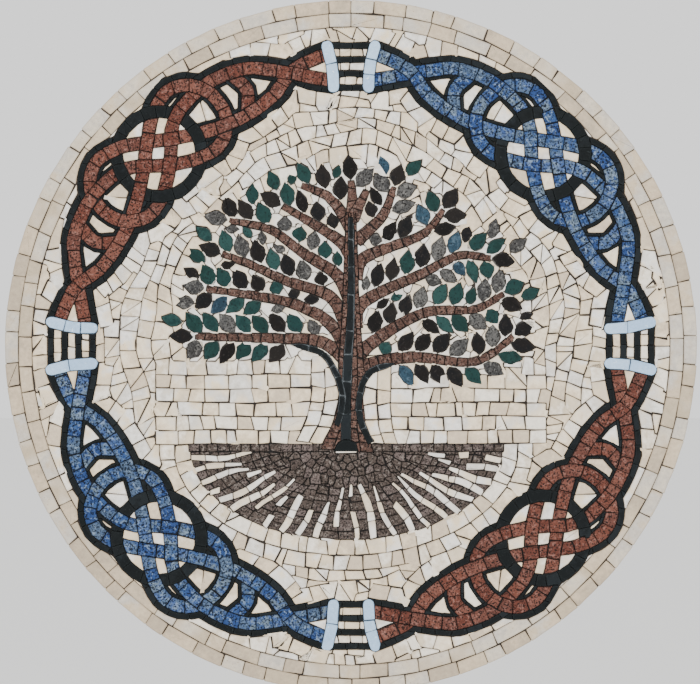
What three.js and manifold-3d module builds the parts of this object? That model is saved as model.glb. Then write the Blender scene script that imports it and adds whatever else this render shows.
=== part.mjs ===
// A round stone mosaic for a wall: a tree with a fan of roots, inside a ring of woven strands.
// Lengths are millimetres and angles are degrees. The picture is drawn upright in x and y with
// its depth in z, and the last lines turn it so that its back lies on the wall and up is +Z.

import * as THREE from 'three';
import { mergeVertices } from 'three/addons/utils/BufferGeometryUtils.js';
import Module from 'manifold-3d';

// The disc
const DISC_RADIUS = 305;
const BED_THICKNESS = 4;
const STONE_THICKNESS = 8;
const SEAT_GAP = 0.3;
const JOINT = 1;
const FACET_ERROR = 2.5;
const CURVE_STEP = 17;

// The two border rows, laid as straight strips round the edge
const BORDER_WIDTH = 11;
const OUTER_SIDES = 52;
const INNER_SIDES = 48;

// The woven band: four like quarters, each woven through a dark ring. Its outermost strand keeps a
// distance from the inner border row.
const KNOT_TO_BORDER = 4.5;
const KNOT_HALF_DEPTH = 37.5;
const STRAND_WIDTH = 11.4;
const OUTLINE_WIDTH = 5;
const RING_RADIUS = 37.5;
const RING_WIDTH = 10.6;
const RING_SIDES = 16;
const CROSSING_REACH = 15;
const CROSSING_SIDES = 8;

// The clasps between the quarters
const CLASP_OUTWARD = 7;
const BAR_LENGTH = 46.6;
const BAR_WIDTH = 9.6;
const BAR_SPREAD = 33;
const BAR_TUCK = 1;
const BAR_FLARE = 4.5;
const STRIPE_WIDTH = 5;
const STRIPE_FILL = 5.3;
const DARK_STRIPES = 4;

// The tree, whose widest branches keep a distance from the innermost strands
const TREE_TO_KNOT = 61.5;
const TRUNK_LINE_WIDTH = 4.4;
const CAP_RADIUS = 10;
const CAP_SIDES = 6;
const BRANCH_BASE_WIDTH = 11;
const BRANCH_TIP_WIDTH = 5.2;
const LEAF_LENGTH = 19;
const LEAF_WIDTH = 11;
const LEAF_SHOULDERS = [0.4, 0.6];
const LEAF_PITCH = 20.5;
const LEAF_FROM_TIP = 7;
const LEAF_ANGLE = 45;
const SMALLEST_LEAF = 11;
const LEAF_STEP = 2;
const LEAF_TO_KNOT = 19;
const CROWN_MARGIN = 3;
const FILM_THICKNESS = 1.5;
const ROOT_COUNT = 25;
const ROOT_GAP = 6.5;
const ROOT_DEPTH = 82;
const GROUND_LINE_WIDTH = 6.5;

// One strand of a quarter: degrees clockwise from its middle, and hundredths of the band's half depth
// outward. The second strand is its mirror image, and a short rung ties the sides near each clasp.
const STRAND_ROUTE = [
  [-42, 57], [-33.5, 27], [-28, -21], [-21, -42], [-13.6, -38], [-6.1, -7], [-0.8, 32], [3.2, 69],
  [7, 94], [10, 100], [13.3, 83], [15.9, 42], [16.7, -8], [15, -52], [11.2, -76], [6.2, -71],
  [1.2, -45], [-2.6, -11], [-5.8, 27], [-10.2, 52], [-17, 66], [-24, 60], [-30.3, 29], [-42, -16],
];
const RUNG_ROUTE = [[-21.1, 60], [-22.9, 12], [-21.1, -38]];

// The tree's free lines, in hundredths of half its span, with x to the right and y up. Branches run
// from the trunk outward.
const BRANCHES = {
  left_1: [[-4, -8], [-20, 3], [-56, 5], [-98, 6]],
  left_2: [[-3, -2], [-14, 15], [-41, 28], [-91, 36]],
  left_3: [[-2, 10], [-13, 31], [-41, 41], [-60, 50], [-81, 58]],
  left_4: [[-1, 30], [-9, 45], [-31, 59], [-50, 73], [-77, 79]],
  left_5: [[0, 56], [-8, 67], [-43, 88]],
  left_6: [[0, 74], [-13, 93], [-31, 101]],
  top: [[0, 78], [1, 92], [0, 104]],
  right_1: [[2, -20], [12, -11], [42, -7], [78, -10], [102, 6]],
  right_2: [[3, -9], [14, 3], [46, 21], [78, 23], [96, 33]],
  right_3: [[3, 12], [8, 28], [46, 46], [68, 57], [88, 55]],
  right_4: [[3, 42], [9, 56], [45, 70], [58, 86]],
  right_5: [[3, 66], [20, 82], [27, 100]],
  right_6: [[1, 80], [10, 98]],
};
const TRUNK_AXIS = [[-2.5, -66], [0, -30], [0, 0], [0, 84]];
const TRUNK_HALF_WIDTHS = [24, 14, 10.5, 11.5, 10, 8, 7, 6.3, 5.3, 4.6];
const CORE_AXIS = [[-3, -60], [-3.4, -35], [-2.5, -20], [-1.5, 0], [0, 20], [0, 77]];
const CORE_HALF_WIDTHS = [4.2, 4.5, 4, 3.4, 3, 2.6, 2];
const LEFT_LINE = [[-38, 1], [-20, -3.5], [-12, -12], [-6.5, -25], [-5.5, -35], [-7, -44], [-9, -50]];
const RIGHT_LINE = [[28, -11], [14, -15], [8, -22], [5.6, -31], [5, -42], [8, -52], [12.5, -61]];
const BOWL_MIDDLE = [-3, -64];
const BOWL_REACH = [99, 0];
const BOWL_SIDES = 16;

// The gaps between roots, as shares of the way from the bowl's middle to its rim: every second gap
// starts further in, and all of them bow outward
const ROOT_GAP_STARTS = [0.5, 0.3];
const ROOT_GAP_BOW = 0.15;
const ROOT_GAP_BEND = [0.83, 0.72];
const PAST_RIM = 1.05;

const STONE_FLOOR = BED_THICKNESS + SEAT_GAP;
const FACE = BED_THICKNESS + STONE_THICKNESS;
const CUT_MARGIN = 1;
const QUARTER_TURN = 90;
const MIDDLE_ANGLE = QUARTER_TURN / 2;
const KNOT_RADIUS = DISC_RADIUS - 2 * (BORDER_WIDTH + JOINT) - KNOT_TO_BORDER - KNOT_HALF_DEPTH;
const KNOT_INSIDE = KNOT_RADIUS - KNOT_HALF_DEPTH;
const TREE_UNIT = (KNOT_INSIDE - TREE_TO_KNOT) / 100;

const wasm = await Module();
wasm.setup();

// Solids

function solidOf(geometry) {
  const bare = geometry.clone();
  bare.deleteAttribute('normal');
  bare.deleteAttribute('uv');
  const merged = mergeVertices(bare);
  return new wasm.Manifold(new wasm.Mesh({
    numProp: 3,
    vertProperties: merged.getAttribute('position').array,
    triVerts: Uint32Array.from(merged.index.array),
  }));
}

function geometryOf(solid) {
  const { vertProperties, triVerts } = solid.getMesh();
  const geometry = new THREE.BufferGeometry();
  geometry.setAttribute('position', new THREE.BufferAttribute(vertProperties, 3));
  geometry.setIndex(new THREE.BufferAttribute(triVerts, 1));
  geometry.computeVertexNormals();
  return geometry;
}

function prism(outline, low = STONE_FLOOR, high = FACE) {
  const shape = outline instanceof THREE.Shape ? outline : new THREE.Shape(outline);
  const geometry = new THREE.ExtrudeGeometry(shape, { depth: high - low, bevelEnabled: false });
  geometry.translate(0, 0, low);
  return solidOf(geometry);
}

const cutter = (outline) => prism(outline, STONE_FLOOR - CUT_MARGIN, FACE + CUT_MARGIN);
const join = (solids) => solids.reduce((whole, next) => whole.add(next));
const cut = (solid, tools) => tools.reduce((rest, tool) => rest.subtract(tool), solid);
const bodies = (solid) => solid.decompose().sort((one, other) => other.volume() - one.volume());

function turned(solid, quarters) {
  return solidOf(geometryOf(solid).rotateZ(THREE.MathUtils.degToRad(quarters * QUARTER_TURN)));
}

// Lines and outlines

function polar(angle, radius, centre = new THREE.Vector2()) {
  const turn = THREE.MathUtils.degToRad(angle);
  return new THREE.Vector2(radius * Math.cos(turn), radius * Math.sin(turn)).add(centre);
}

// Points on an arc, with its ends
const arc = (from, to, steps, radius, centre) => Array.from({ length: steps + 1 }, (_, step) => (
  polar(THREE.MathUtils.lerp(from, to, step / steps), radius, centre)));
const circle = (radius, sides, centre) => (
  arc(QUARTER_TURN, 5 * QUARTER_TURN, sides, radius, centre).slice(0, sides));

function curve(points) {
  const line = new THREE.SplineCurve(points);
  return line.getSpacedPoints(Math.round(line.getLength() / CURVE_STEP));
}

const FINE_STEPS = 8;

// A smooth line through points, cut into as few straight facets as stay close to it
function facets(points) {
  const fine = new THREE.SplineCurve(points).getPoints(points.length * FINE_STEPS);
  const keep = (from, to) => {
    const line = new THREE.Line3(new THREE.Vector3(...fine[from], 0), new THREE.Vector3(...fine[to], 0));
    let worst = 0;
    let place = 0;
    for (let index = from + 1; index < to; index += 1) {
      const point = new THREE.Vector3(...fine[index], 0);
      const nearest = line.closestPointToPoint(point, true, new THREE.Vector3());
      if (nearest.distanceTo(point) > worst) {
        worst = nearest.distanceTo(point);
        place = index;
      }
    }
    return worst > FACET_ERROR ? [...keep(from, place), ...keep(place, to)] : [fine[from]];
  };
  return [...keep(0, fine.length - 1), fine[fine.length - 1]];
}

const treePoint = ([x, y]) => new THREE.Vector2(x, y).multiplyScalar(TREE_UNIT);
const mirrored = (route) => route.map(([along, out]) => [-along, out]);

// The value at a share of the way through a list of evenly spaced values
function valueAt(values, share) {
  if (values.length === 1) return values[0];
  const place = share * (values.length - 1);
  const low = Math.min(Math.floor(place), values.length - 2);
  return THREE.MathUtils.lerp(values[low], values[low + 1], place - low);
}

function heading(line, index) {
  const before = line[Math.max(index - 1, 0)];
  const after = line[Math.min(index + 1, line.length - 1)];
  return after.clone().sub(before).normalize();
}

// A line moved to its left by distances listed from its start to its end
function aside(line, distances) {
  return line.map((point, index) => {
    const ahead = heading(line, index);
    const distance = valueAt(distances, index / (line.length - 1));
    return new THREE.Vector2(-ahead.y, ahead.x).multiplyScalar(distance).add(point);
  });
}

// The outline of a strip along a line, given its half widths from start to end
function strip(line, ...halfWidths) {
  return [...aside(line, halfWidths), ...aside(line, halfWidths.map((half) => -half)).reverse()];
}

function annulus(outer, inner) {
  const shape = new THREE.Shape(outer);
  shape.holes.push(new THREE.Path(inner));
  return shape;
}

// Clasps: two bars with round ends, flared outward, and a panel of stripes between them

const claspMiddle = KNOT_RADIUS + CLASP_OUTWARD;
const stripePitch = STRIPE_WIDTH + STRIPE_FILL + 2 * JOINT;
const BAR_END_SIDES = 4;

function barOutline(side, grow) {
  const half = BAR_WIDTH / 2 + grow;
  const run = (BAR_LENGTH - BAR_WIDTH) / 2;
  const line = [[-BAR_TUCK, -run], [0, 0], [BAR_FLARE, run]].map(([aslant, out]) => (
    new THREE.Vector2(side * (BAR_SPREAD / 2 + aslant), claspMiddle + out)));
  const end = (middle, start) => (
    arc(start, start - 2 * QUARTER_TURN, BAR_END_SIDES, half, middle).slice(1, -1));
  const edges = strip(line, half);
  return [
    ...edges.slice(0, line.length), ...end(line[line.length - 1], 2 * QUARTER_TURN),
    ...edges.slice(line.length), ...end(line[0], 4 * QUARTER_TURN),
  ];
}

function panelOutline(grow) {
  const halfHeight = ((DARK_STRIPES - 1) * stripePitch + STRIPE_WIDTH) / 2 + grow;
  const corner = (x, y) => new THREE.Vector2(x, claspMiddle + y);
  const half = BAR_SPREAD / 2;
  return [
    corner(-half, -halfHeight), corner(half, -halfHeight), corner(half, halfHeight),
    corner(-half, halfHeight),
  ];
}

function makePanel() {
  const bars = [-1, 1].map((side) => cutter(barOutline(side, JOINT)));
  return bodies(cut(prism(panelOutline(0)), bars))[0];
}

const acrossClasp = (half, level) => [-1, 1].map((side) => new THREE.Vector2(side * half, level));
// The room between and beyond the bars, where the outlines of the knots end
const claspBlock = join([
  cutter(strip(acrossClasp((BAR_SPREAD + BAR_FLARE) / 2, claspMiddle), BAR_LENGTH)),
  cutter(strip(acrossClasp(BAR_SPREAD, claspMiddle + BAR_LENGTH), BAR_LENGTH / 2)),
]);
const topClaspZone = join([
  cutter(barOutline(-1, JOINT)), cutter(barOutline(1, JOINT)), cutter(panelOutline(JOINT)),
]);

// The knot of one quarter, drawn between the top clasp and the right clasp

const ringCentre = polar(MIDDLE_ANGLE, KNOT_RADIUS);
const ringHalf = RING_WIDTH / 2;
const strandHalf = STRAND_WIDTH / 2;
const rimHalf = strandHalf + JOINT + OUTLINE_WIDTH;

const bandPoint = ([along, out]) => (
  polar(MIDDLE_ANGLE - along, KNOT_RADIUS + (out * KNOT_HALF_DEPTH) / 100));
const strands = [STRAND_ROUTE, mirrored(STRAND_ROUTE)].map(
  (route) => facets(route.map(bandPoint)));
const rungs = [RUNG_ROUTE, mirrored(RUNG_ROUTE)].map((route) => route.map(bandPoint));
const ringLine = circle(RING_RADIUS, RING_SIDES, ringCentre);
ringLine.push(ringLine[0]);
const wovenLines = [...strands, ringLine];
const ringIndex = strands.length;

// A strand crosses itself, so it is joined from two halves
function strandSolid(line, half, make) {
  const middle = Math.floor(line.length / 2);
  const [left, right] = [half, -half].map((distance) => aside(line, [distance]));
  const piece = (from, to) => make([...left.slice(from, to), ...right.slice(from, to).reverse()]);
  return piece(0, middle + 2).add(piece(middle, line.length));
}

const strandSolids = (half, make) => join([
  ...strands.map((line) => strandSolid(line, half, make)),
  ...rungs.map((line) => make(strip(line, half))),
]);

// Where two steps of lines meet, as the share of each step, or nothing
function meeting(start, end, otherStart, otherEnd) {
  const step = end.clone().sub(start);
  const otherStep = otherEnd.clone().sub(otherStart);
  const between = otherStart.clone().sub(start);
  const area = step.cross(otherStep);
  const shares = [between.cross(otherStep) / area, between.cross(step) / area];
  return shares.every((share) => share >= 0 && share < 1) ? shares : null;
}

function meetingsOf(lines) {
  const found = [];
  lines.forEach((line, first) => lines.slice(first).forEach((other, offset) => {
    for (let i = 0; i < line.length - 1; i += 1) {
      for (let j = offset ? 0 : i + 2; j < other.length - 1; j += 1) {
        const shares = meeting(line[i], line[i + 1], other[j], other[j + 1]);
        if (shares) {
          found.push([
            { line: first, at: i + shares[0] }, { line: first + offset, at: j + shares[1] },
          ]);
        }
      }
    }
  }));
  return found;
}

// Along each strand the crossings go over and under in turn. The first strand starts over, its mirror
// image starts under, and that settles the ring too.
function weave() {
  const found = meetingsOf(wovenLines);
  strands.forEach((_, index) => {
    const passes = found.flat().filter((pass) => pass.line === index);
    passes.sort((one, other) => one.at - other.at);
    passes.forEach((pass, order) => { pass.over = (order + index) % 2 === 0; });
  });
  return found.map(([one, other]) => (
    one.over ? { upper: one, lower: other } : { upper: other, lower: one }));
}

function ringSolid(make, grow) {
  const edges = [ringHalf + grow, -ringHalf - grow].map((offset) => (
    circle(RING_RADIUS + offset, RING_SIDES, ringCentre)));
  return make(annulus(...edges));
}

// The room an upper line needs where it passes over another
const lineRooms = [
  ...strands.map((line) => strandSolid(line, strandHalf + JOINT, cutter)), ringSolid(cutter, JOINT),
];

function passRoom({ line, at }) {
  const step = Math.floor(at);
  const middle = wovenLines[line][step].clone().lerp(wovenLines[line][step + 1], at - step);
  return lineRooms[line].intersect(cutter(circle(CROSSING_REACH, CROSSING_SIDES, middle)));
}

// The dark pieces of a quarter, from the largest to the smallest
const DARK_NAMES = ['outline_outer', 'outline_inner', 'ring_arc_1', 'ring_arc_2'];

function makeQuarter() {
  const crossings = weave();
  const isRing = (pass) => pass.line === ringIndex;
  const ringPaths = crossings.filter(({ upper }) => isRing(upper)).map(({ upper }) => passRoom(upper));
  const strandPaths = crossings.filter(({ lower }) => isRing(lower)).map(({ upper }) => passRoom(upper));
  const claspZones = [topClaspZone, turned(topClaspZone, -1)];

  const [strandBody] = bodies(cut(strandSolids(strandHalf, prism), [...ringPaths, ...claspZones]));

  const band = cut(strandSolids(rimHalf, prism), [
    strandSolids(strandHalf + JOINT, cutter), cutter(circle(RING_RADIUS, RING_SIDES, ringCentre)),
    ...claspZones, claspBlock, turned(claspBlock, -1),
  ]);
  const outlines = bodies(band).slice(0, DARK_NAMES.length);
  const dark = cut(join([...outlines, ringSolid(prism, 0)]), strandPaths);
  const zone = join([
    strandSolids(rimHalf + JOINT, cutter),
    cutter(circle(RING_RADIUS + ringHalf + JOINT, RING_SIDES, ringCentre)),
  ]);
  return { strandBody, darkBodies: bodies(dark).slice(0, DARK_NAMES.length), zone };
}

const quarter = makeQuarter();
const quarterTurns = [0, 1, 2, 3];
const knotZone = join(quarterTurns.flatMap(
  (turns) => [turned(quarter.zone, turns), turned(topClaspZone, turns)]));

// The tree

const bowlMiddle = treePoint(BOWL_MIDDLE);
const bowlHalf = treePoint(BOWL_REACH).x;
const groundHalf = GROUND_LINE_WIDTH / 2;
const branchHalves = [BRANCH_BASE_WIDTH / 2, BRANCH_TIP_WIDTH / 2];
const trunkLine = curve(TRUNK_AXIS.map(treePoint));
const branchLines = Object.fromEntries(Object.entries(BRANCHES).map(
  ([name, route]) => [name, facets(route.map(treePoint))]));

const grown = (halves, grow) => halves.map((half) => half + grow);
const branchSolid = (line, make, grow = 0) => make(strip(line, ...grown(branchHalves, grow)));
const trunkSolid = (make, grow = 0) => make(strip(trunkLine, ...grown(TRUNK_HALF_WIDTHS, grow)));
const trunkLines = [LEFT_LINE, RIGHT_LINE].map((route) => curve(route.map(treePoint)));
const trunkLineSolid = (line, make, grow = 0) => make(strip(line, TRUNK_LINE_WIDTH / 2 + grow));
const coreSolid = (make, grow = 0) => (
  make(strip(curve(CORE_AXIS.map(treePoint)), ...grown(CORE_HALF_WIDTHS, grow))));

const belowBowlMiddle = (depth) => bowlMiddle.clone().sub(new THREE.Vector2(0, depth));
const besideBowlMiddle = (offset) => bowlMiddle.clone().add(new THREE.Vector2(offset, 0));
const capOutline = (grow) => (
  arc(0, 2 * QUARTER_TURN, CAP_SIDES, CAP_RADIUS + grow, belowBowlMiddle(grow)));

function groundSolid(make, grow = 0) {
  const ends = [-bowlHalf - grow, bowlHalf + grow].map(besideBowlMiddle);
  return make(strip(ends, groundHalf + grow));
}

function bowlOutline(grow) {
  return Array.from({ length: BOWL_SIDES + 1 }, (_, side) => {
    const turn = THREE.MathUtils.degToRad(180 * (1 + side / BOWL_SIDES));
    return new THREE.Vector2(
      (bowlHalf + grow) * Math.cos(turn), (ROOT_DEPTH + grow) * Math.sin(turn)).add(bowlMiddle);
  });
}

// The gap between two roots, which bows outward and widens from the hub to the rim of the bowl
function rootGap(index) {
  const turn = THREE.MathUtils.degToRad(180 * (1 + index / ROOT_COUNT));
  const rim = new THREE.Vector2(bowlHalf * Math.cos(turn), ROOT_DEPTH * Math.sin(turn));
  const start = ROOT_GAP_STARTS[index % ROOT_GAP_STARTS.length];
  const line = [[start + ROOT_GAP_BOW, start], ROOT_GAP_BEND, [PAST_RIM, PAST_RIM]].map(
    ([across, down]) => new THREE.Vector2(rim.x * across, rim.y * down).add(bowlMiddle));
  return cutter(strip(line, ROOT_GAP / 3, ROOT_GAP / 2, ROOT_GAP / 2));
}

function makeTree() {
  const brown = join([trunkSolid(prism), ...Object.values(branchLines).map(
    (line) => branchSolid(line, prism))]);
  const capZone = cutter(capOutline(JOINT));
  const darkZones = [
    coreSolid(cutter, JOINT), ...trunkLines.map((line) => trunkLineSolid(line, cutter, JOINT)), capZone,
  ];
  const groundZone = groundSolid(cutter, JOINT);
  const rightGround = [bowlMiddle, besideBowlMiddle(bowlHalf)];
  const [trunk, foot] = bodies(cut(brown, [
    ...darkZones, cutter(strip(rightGround, groundHalf + JOINT))]));
  const gaps = Array.from({ length: ROOT_COUNT - 1 }, (_, index) => rootGap(index + 1));
  const roots = join([foot, groundSolid(prism), cut(prism(bowlOutline(-JOINT)), gaps)]);
  const core = coreSolid(prism).add(trunkLineSolid(trunkLines[0], prism));
  return {
    trunk_and_branches: bodies(cut(trunk, [groundZone]))[0],
    trunk_core: bodies(cut(core, [capZone]))[0],
    trunk_line: bodies(cut(trunkLineSolid(trunkLines[1], prism), [groundZone]))[0],
    root_cap: prism(capOutline(0)),
    roots: bodies(cut(roots, [capZone]))[0],
  };
}

const treeZones = () => [
  ...Object.values(branchLines).map((line) => branchSolid(line, cutter, JOINT)),
  trunkSolid(cutter, JOINT), ...trunkLines.map((line) => trunkLineSolid(line, cutter, JOINT)),
];

// Leaves stand in rows along both sides of each branch, and the last one stands on its tip

function leafOutline({ foot, ahead, size }, grow = 0) {
  const across = new THREE.Vector2(-ahead.y, ahead.x).multiplyScalar(LEAF_WIDTH / 2 + grow);
  const [right, left] = LEAF_SHOULDERS.map((share) => share * size);
  return [[-grow, 0], [right, -1], [size + grow, 0], [left, 1]].map(([along, side]) => (
    ahead.clone().multiplyScalar(along).addScaledVector(across, side).add(foot)));
}

// Whether an edge of one of two convex outlines has all of the other one beyond it
function apart(one, other) {
  const beyond = (outline, points) => outline.some((corner, index) => {
    const edge = outline[(index + 1) % outline.length].clone().sub(corner);
    const side = (point) => edge.cross(point.clone().sub(corner));
    const inward = Math.max(...outline.map(side)) + Math.min(...outline.map(side));
    return points.every((point) => side(point) * inward <= 0);
  });
  return beyond(one, other) || beyond(other, one);
}

function pastTip(line, distance) {
  return heading(line, line.length - 1).multiplyScalar(distance).add(line[line.length - 1]);
}

// The straight runs of a line as outlines of their own
function runsOf(line, halves) {
  const edges = [-1, 1].map((side) => aside(line, halves.map((half) => side * half)));
  return line.slice(1).map((_, index) => [
    edges[0][index], edges[0][index + 1], edges[1][index + 1], edges[1][index],
  ]);
}

const woodRuns = () => [
  ...runsOf(trunkLine, grown(TRUNK_HALF_WIDTHS, JOINT)),
  ...trunkLines.flatMap((line) => runsOf(line, [TRUNK_LINE_WIDTH / 2 + JOINT])),
  ...Object.values(branchLines).flatMap((line) => runsOf(line, grown(branchHalves, JOINT / 2))),
];

function leafSpots(line) {
  const spots = [{ foot: pastTip(line, JOINT), ahead: heading(line, line.length - 1) }];
  [-1, 1].forEach((side) => {
    const edge = aside(line, grown(branchHalves, JOINT).map((distance) => side * distance));
    const path = new THREE.CurvePath();
    edge.slice(1).forEach((point, index) => path.add(new THREE.LineCurve(edge[index], point)));
    const length = path.getLength();
    for (let passed = LEAF_FROM_TIP; passed < length; passed += LEAF_PITCH) {
      const share = 1 - passed / length;
      const turn = THREE.MathUtils.degToRad(side * LEAF_ANGLE);
      const ahead = path.getTangentAt(share).rotateAround(new THREE.Vector2(), turn);
      spots.push({ foot: path.getPointAt(share), ahead });
    }
  });
  return spots;
}

// Each leaf is as long as the wood, the woven band and the leaves before it leave room for
function grownLeaves() {
  const taken = woodRuns();
  const reach = KNOT_INSIDE - LEAF_TO_KNOT;
  Object.values(branchLines).flatMap(leafSpots).forEach((spot) => {
    for (let size = LEAF_LENGTH; size >= SMALLEST_LEAF; size -= LEAF_STEP) {
      const outline = leafOutline({ ...spot, size }, JOINT / 2);
      if (outline[2].length() < reach && taken.every((other) => apart(outline, other))) {
        taken.push(Object.assign(outline, { leaf: { ...spot, size } }));
        return;
      }
    }
  });
  return taken.filter(({ leaf }) => leaf).map(({ leaf }) => leaf);
}

// The crown round all leaves, which stand together on a thin film of adhesive
const leaves = grownLeaves();
const crownSolid = (make, grow) => (
  wasm.Manifold.hull(leaves.map((leaf) => make(leafOutline(leaf, CROWN_MARGIN + grow)))));

function makeLeaves() {
  const film = crownSolid((outline) => prism(outline, STONE_FLOOR, STONE_FLOOR + FILM_THICKNESS), 0);
  const foot = STONE_FLOOR + FILM_THICKNESS / 2;
  const stones = leaves.map((leaf) => prism(leafOutline(leaf), foot));
  return bodies(join([bodies(cut(film, treeZones()))[0], ...stones]))[0];
}

// The ground: what is left of the disc inside the border rows

function distanceTo(solid, spot) {
  const { min, max } = solid.boundingBox();
  return spot.distanceTo(new THREE.Vector2(min[0] + max[0], min[1] + max[1]).multiplyScalar(0.5));
}

function makeGround() {
  const zones = [
    ...treeZones(), groundSolid(cutter, JOINT), cutter(bowlOutline(JOINT)), crownSolid(cutter, JOINT),
  ];
  const radius = DISC_RADIUS - 2 * (BORDER_WIDTH + JOINT);
  const parts = bodies(prism(circle(radius, INNER_SIDES)).subtract(knotZone));
  const [inside] = bodies(cut(parts[0], zones));
  const outside = quarterTurns.map((turns) => {
    const spot = polar(QUARTER_TURN * (turns + 1), radius);
    return parts.slice(1).sort((one, other) => distanceTo(one, spot) - distanceTo(other, spot))[0];
  });
  return { inside, outside };
}

// Materials and nodes

const material = (color, roughness) => new THREE.MeshStandardMaterial({ color, roughness, metalness: 0 });
const CREAM = [0xd9cdbb, 0.55];
const RED = [0x9d5d4f, 0.45];
const BLUE = [0x5b6f9f, 0.4];
const CHARCOAL = [0x25292a, 0.4];
const BROWN = [0x6a534b, 0.5];
const PALE_BLUE = [0xc5d6e6, 0.4];
const GREEN = [0x2f5a54, 0.4];
const BED = [0xe8e6e0, 0.9];

const picture = new THREE.Group();

function place(name, solid, finish, turns = 0) {
  const mesh = new THREE.Mesh(geometryOf(solid), material(...finish));
  mesh.name = name;
  mesh.rotation.z = THREE.MathUtils.degToRad(turns * QUARTER_TURN);
  picture.add(mesh);
}

const ground = makeGround();
place('setting_bed', prism(circle(DISC_RADIUS, OUTER_SIDES), 0, BED_THICKNESS), BED);

const rowRadii = [DISC_RADIUS, DISC_RADIUS - BORDER_WIDTH - JOINT];
place('border_row_outer', prism(annulus(
  circle(rowRadii[0], OUTER_SIDES), circle(rowRadii[0] - BORDER_WIDTH, OUTER_SIDES))), CREAM);
place('border_row_inner', bodies(prism(annulus(
  circle(rowRadii[1], INNER_SIDES), circle(rowRadii[1] - BORDER_WIDTH, INNER_SIDES)))
  .subtract(knotZone))[0], CREAM);
place('ground_inside', ground.inside, CREAM);

const CLASP_NAMES = ['top', 'left', 'bottom', 'right'];
ground.outside.forEach((solid, turns) => place(`ground_outside_${CLASP_NAMES[turns]}`, solid, CREAM));

const QUARTER_NAMES = ['upper_right', 'upper_left', 'lower_left', 'lower_right'];
quarterTurns.forEach((turns) => {
  const name = QUARTER_NAMES[turns];
  place(`knot_${name}_strands`, quarter.strandBody, turns % 2 ? RED : BLUE, turns);
  quarter.darkBodies.forEach((solid, index) => (
    place(`knot_${name}_${DARK_NAMES[index]}`, solid, CHARCOAL, turns)));
});

const panel = makePanel();
quarterTurns.forEach((turns) => {
  const name = CLASP_NAMES[turns];
  place(`clasp_${name}_bar_1`, prism(barOutline(-1, 0)), PALE_BLUE, turns);
  place(`clasp_${name}_bar_2`, prism(barOutline(1, 0)), PALE_BLUE, turns);
  place(`clasp_${name}_stripes`, panel, CHARCOAL, turns);
});

const BROWN_PIECES = ['trunk_and_branches', 'roots'];
Object.entries(makeTree()).forEach(([name, solid]) => (
  place(name, solid, BROWN_PIECES.includes(name) ? BROWN : CHARCOAL)));
place('leaves', makeLeaves(), GREEN);

const plaque = new THREE.Group();
picture.rotation.x = THREE.MathUtils.degToRad(QUARTER_TURN);
plaque.add(picture);

export default plaque;
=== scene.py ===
"""The looks of a round stone mosaic: a tree with a fan of roots inside a ring of woven strands.

The picture is planned flat, in millimetres, with complex numbers for points: x runs right and y runs
up. Shapes are laid level by level, and a higher one hides what lies under it, as a setter cuts the
ground stones to fit the figures. What stays visible of each shape becomes one stone.
"""

import cmath
import json
import math
from collections import defaultdict

import bpy
import numpy as np
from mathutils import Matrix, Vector
from mathutils.geometry import delaunay_2d_cdt


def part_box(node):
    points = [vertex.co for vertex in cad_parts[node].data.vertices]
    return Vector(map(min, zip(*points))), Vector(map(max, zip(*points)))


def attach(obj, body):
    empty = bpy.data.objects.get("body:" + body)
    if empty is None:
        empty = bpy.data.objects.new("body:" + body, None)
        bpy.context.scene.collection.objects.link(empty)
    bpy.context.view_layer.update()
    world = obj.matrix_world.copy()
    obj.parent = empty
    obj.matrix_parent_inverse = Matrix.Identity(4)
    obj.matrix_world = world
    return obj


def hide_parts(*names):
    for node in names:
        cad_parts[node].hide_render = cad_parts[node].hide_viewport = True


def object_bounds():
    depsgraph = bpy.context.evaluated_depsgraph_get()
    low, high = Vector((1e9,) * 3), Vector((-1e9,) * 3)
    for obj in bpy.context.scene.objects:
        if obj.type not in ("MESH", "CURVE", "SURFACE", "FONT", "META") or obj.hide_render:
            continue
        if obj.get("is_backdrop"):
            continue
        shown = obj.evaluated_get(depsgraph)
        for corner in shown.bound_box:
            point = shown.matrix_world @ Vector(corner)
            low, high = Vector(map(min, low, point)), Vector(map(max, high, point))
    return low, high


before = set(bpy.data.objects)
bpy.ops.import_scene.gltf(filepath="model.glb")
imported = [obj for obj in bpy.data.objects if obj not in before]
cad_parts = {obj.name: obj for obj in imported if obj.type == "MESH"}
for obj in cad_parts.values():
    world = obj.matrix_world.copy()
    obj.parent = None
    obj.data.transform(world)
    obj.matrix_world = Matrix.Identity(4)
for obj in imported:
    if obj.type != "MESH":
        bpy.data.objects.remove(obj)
cad_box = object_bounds()
rng = np.random.default_rng(11)
MM = 0.001

# Sizes that the frame gives, in millimetres
bed_low, bed_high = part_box("setting_bed")
row_low, row_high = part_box("border_row_outer")
DISC_RADIUS = bed_high.x / MM
BED_THICKNESS = -bed_low.y / MM
STONE_FLOOR = -row_high.y / MM
FACE = -row_low.y / MM

# Stones and joints
JOINT = 0.75
CHAMFER = 0.3
GROUT_DEPTH = 1.4
EDGE_PLAY = 0.05
SMALLEST_STONE = 9.0
THINNEST_STONE = 3.2
LARGEST_CHIP = 190.0
LARGEST_STONES = {"ground_outside": 265.0, "ground_inside": 265.0, "crown_chips": 120.0}
SCRAPS = {"ground": (3.5, 70), "crown_chips": (1.6, 26)}
JOINT_SHARES = {"ground_outside": 1.3, "ground_inside": 1.3, "crown_chips": 0.9, "core": 1.4}
# Colours of the adhesive in the joints beside each kind of stone, darker than the pale adhesive itself:
# painted shade in the gaps, with some dust
JOINT_DUST_AND_SHADE = {
    "cream": 0x2b241e, "border": 0x352c25, "white": 0x433b34, "pale": 0x4d5a68, "red": 0x120d0b,
    "blue": 0x0b0e15, "dark": 0x090b0c, "core": 0x666c70, "brown": 0x120e0d, "root_brown": 0x120e0d,
    "green": 0x6d706c, "black": 0x5f5d5a, "grey": 0x77736e, "slate": 0x6a6f72,
}
FACE_INSET = 1.3
FOOT_SPREAD = 0.2
SINK = 0.14
TILT = 0.007
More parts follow.
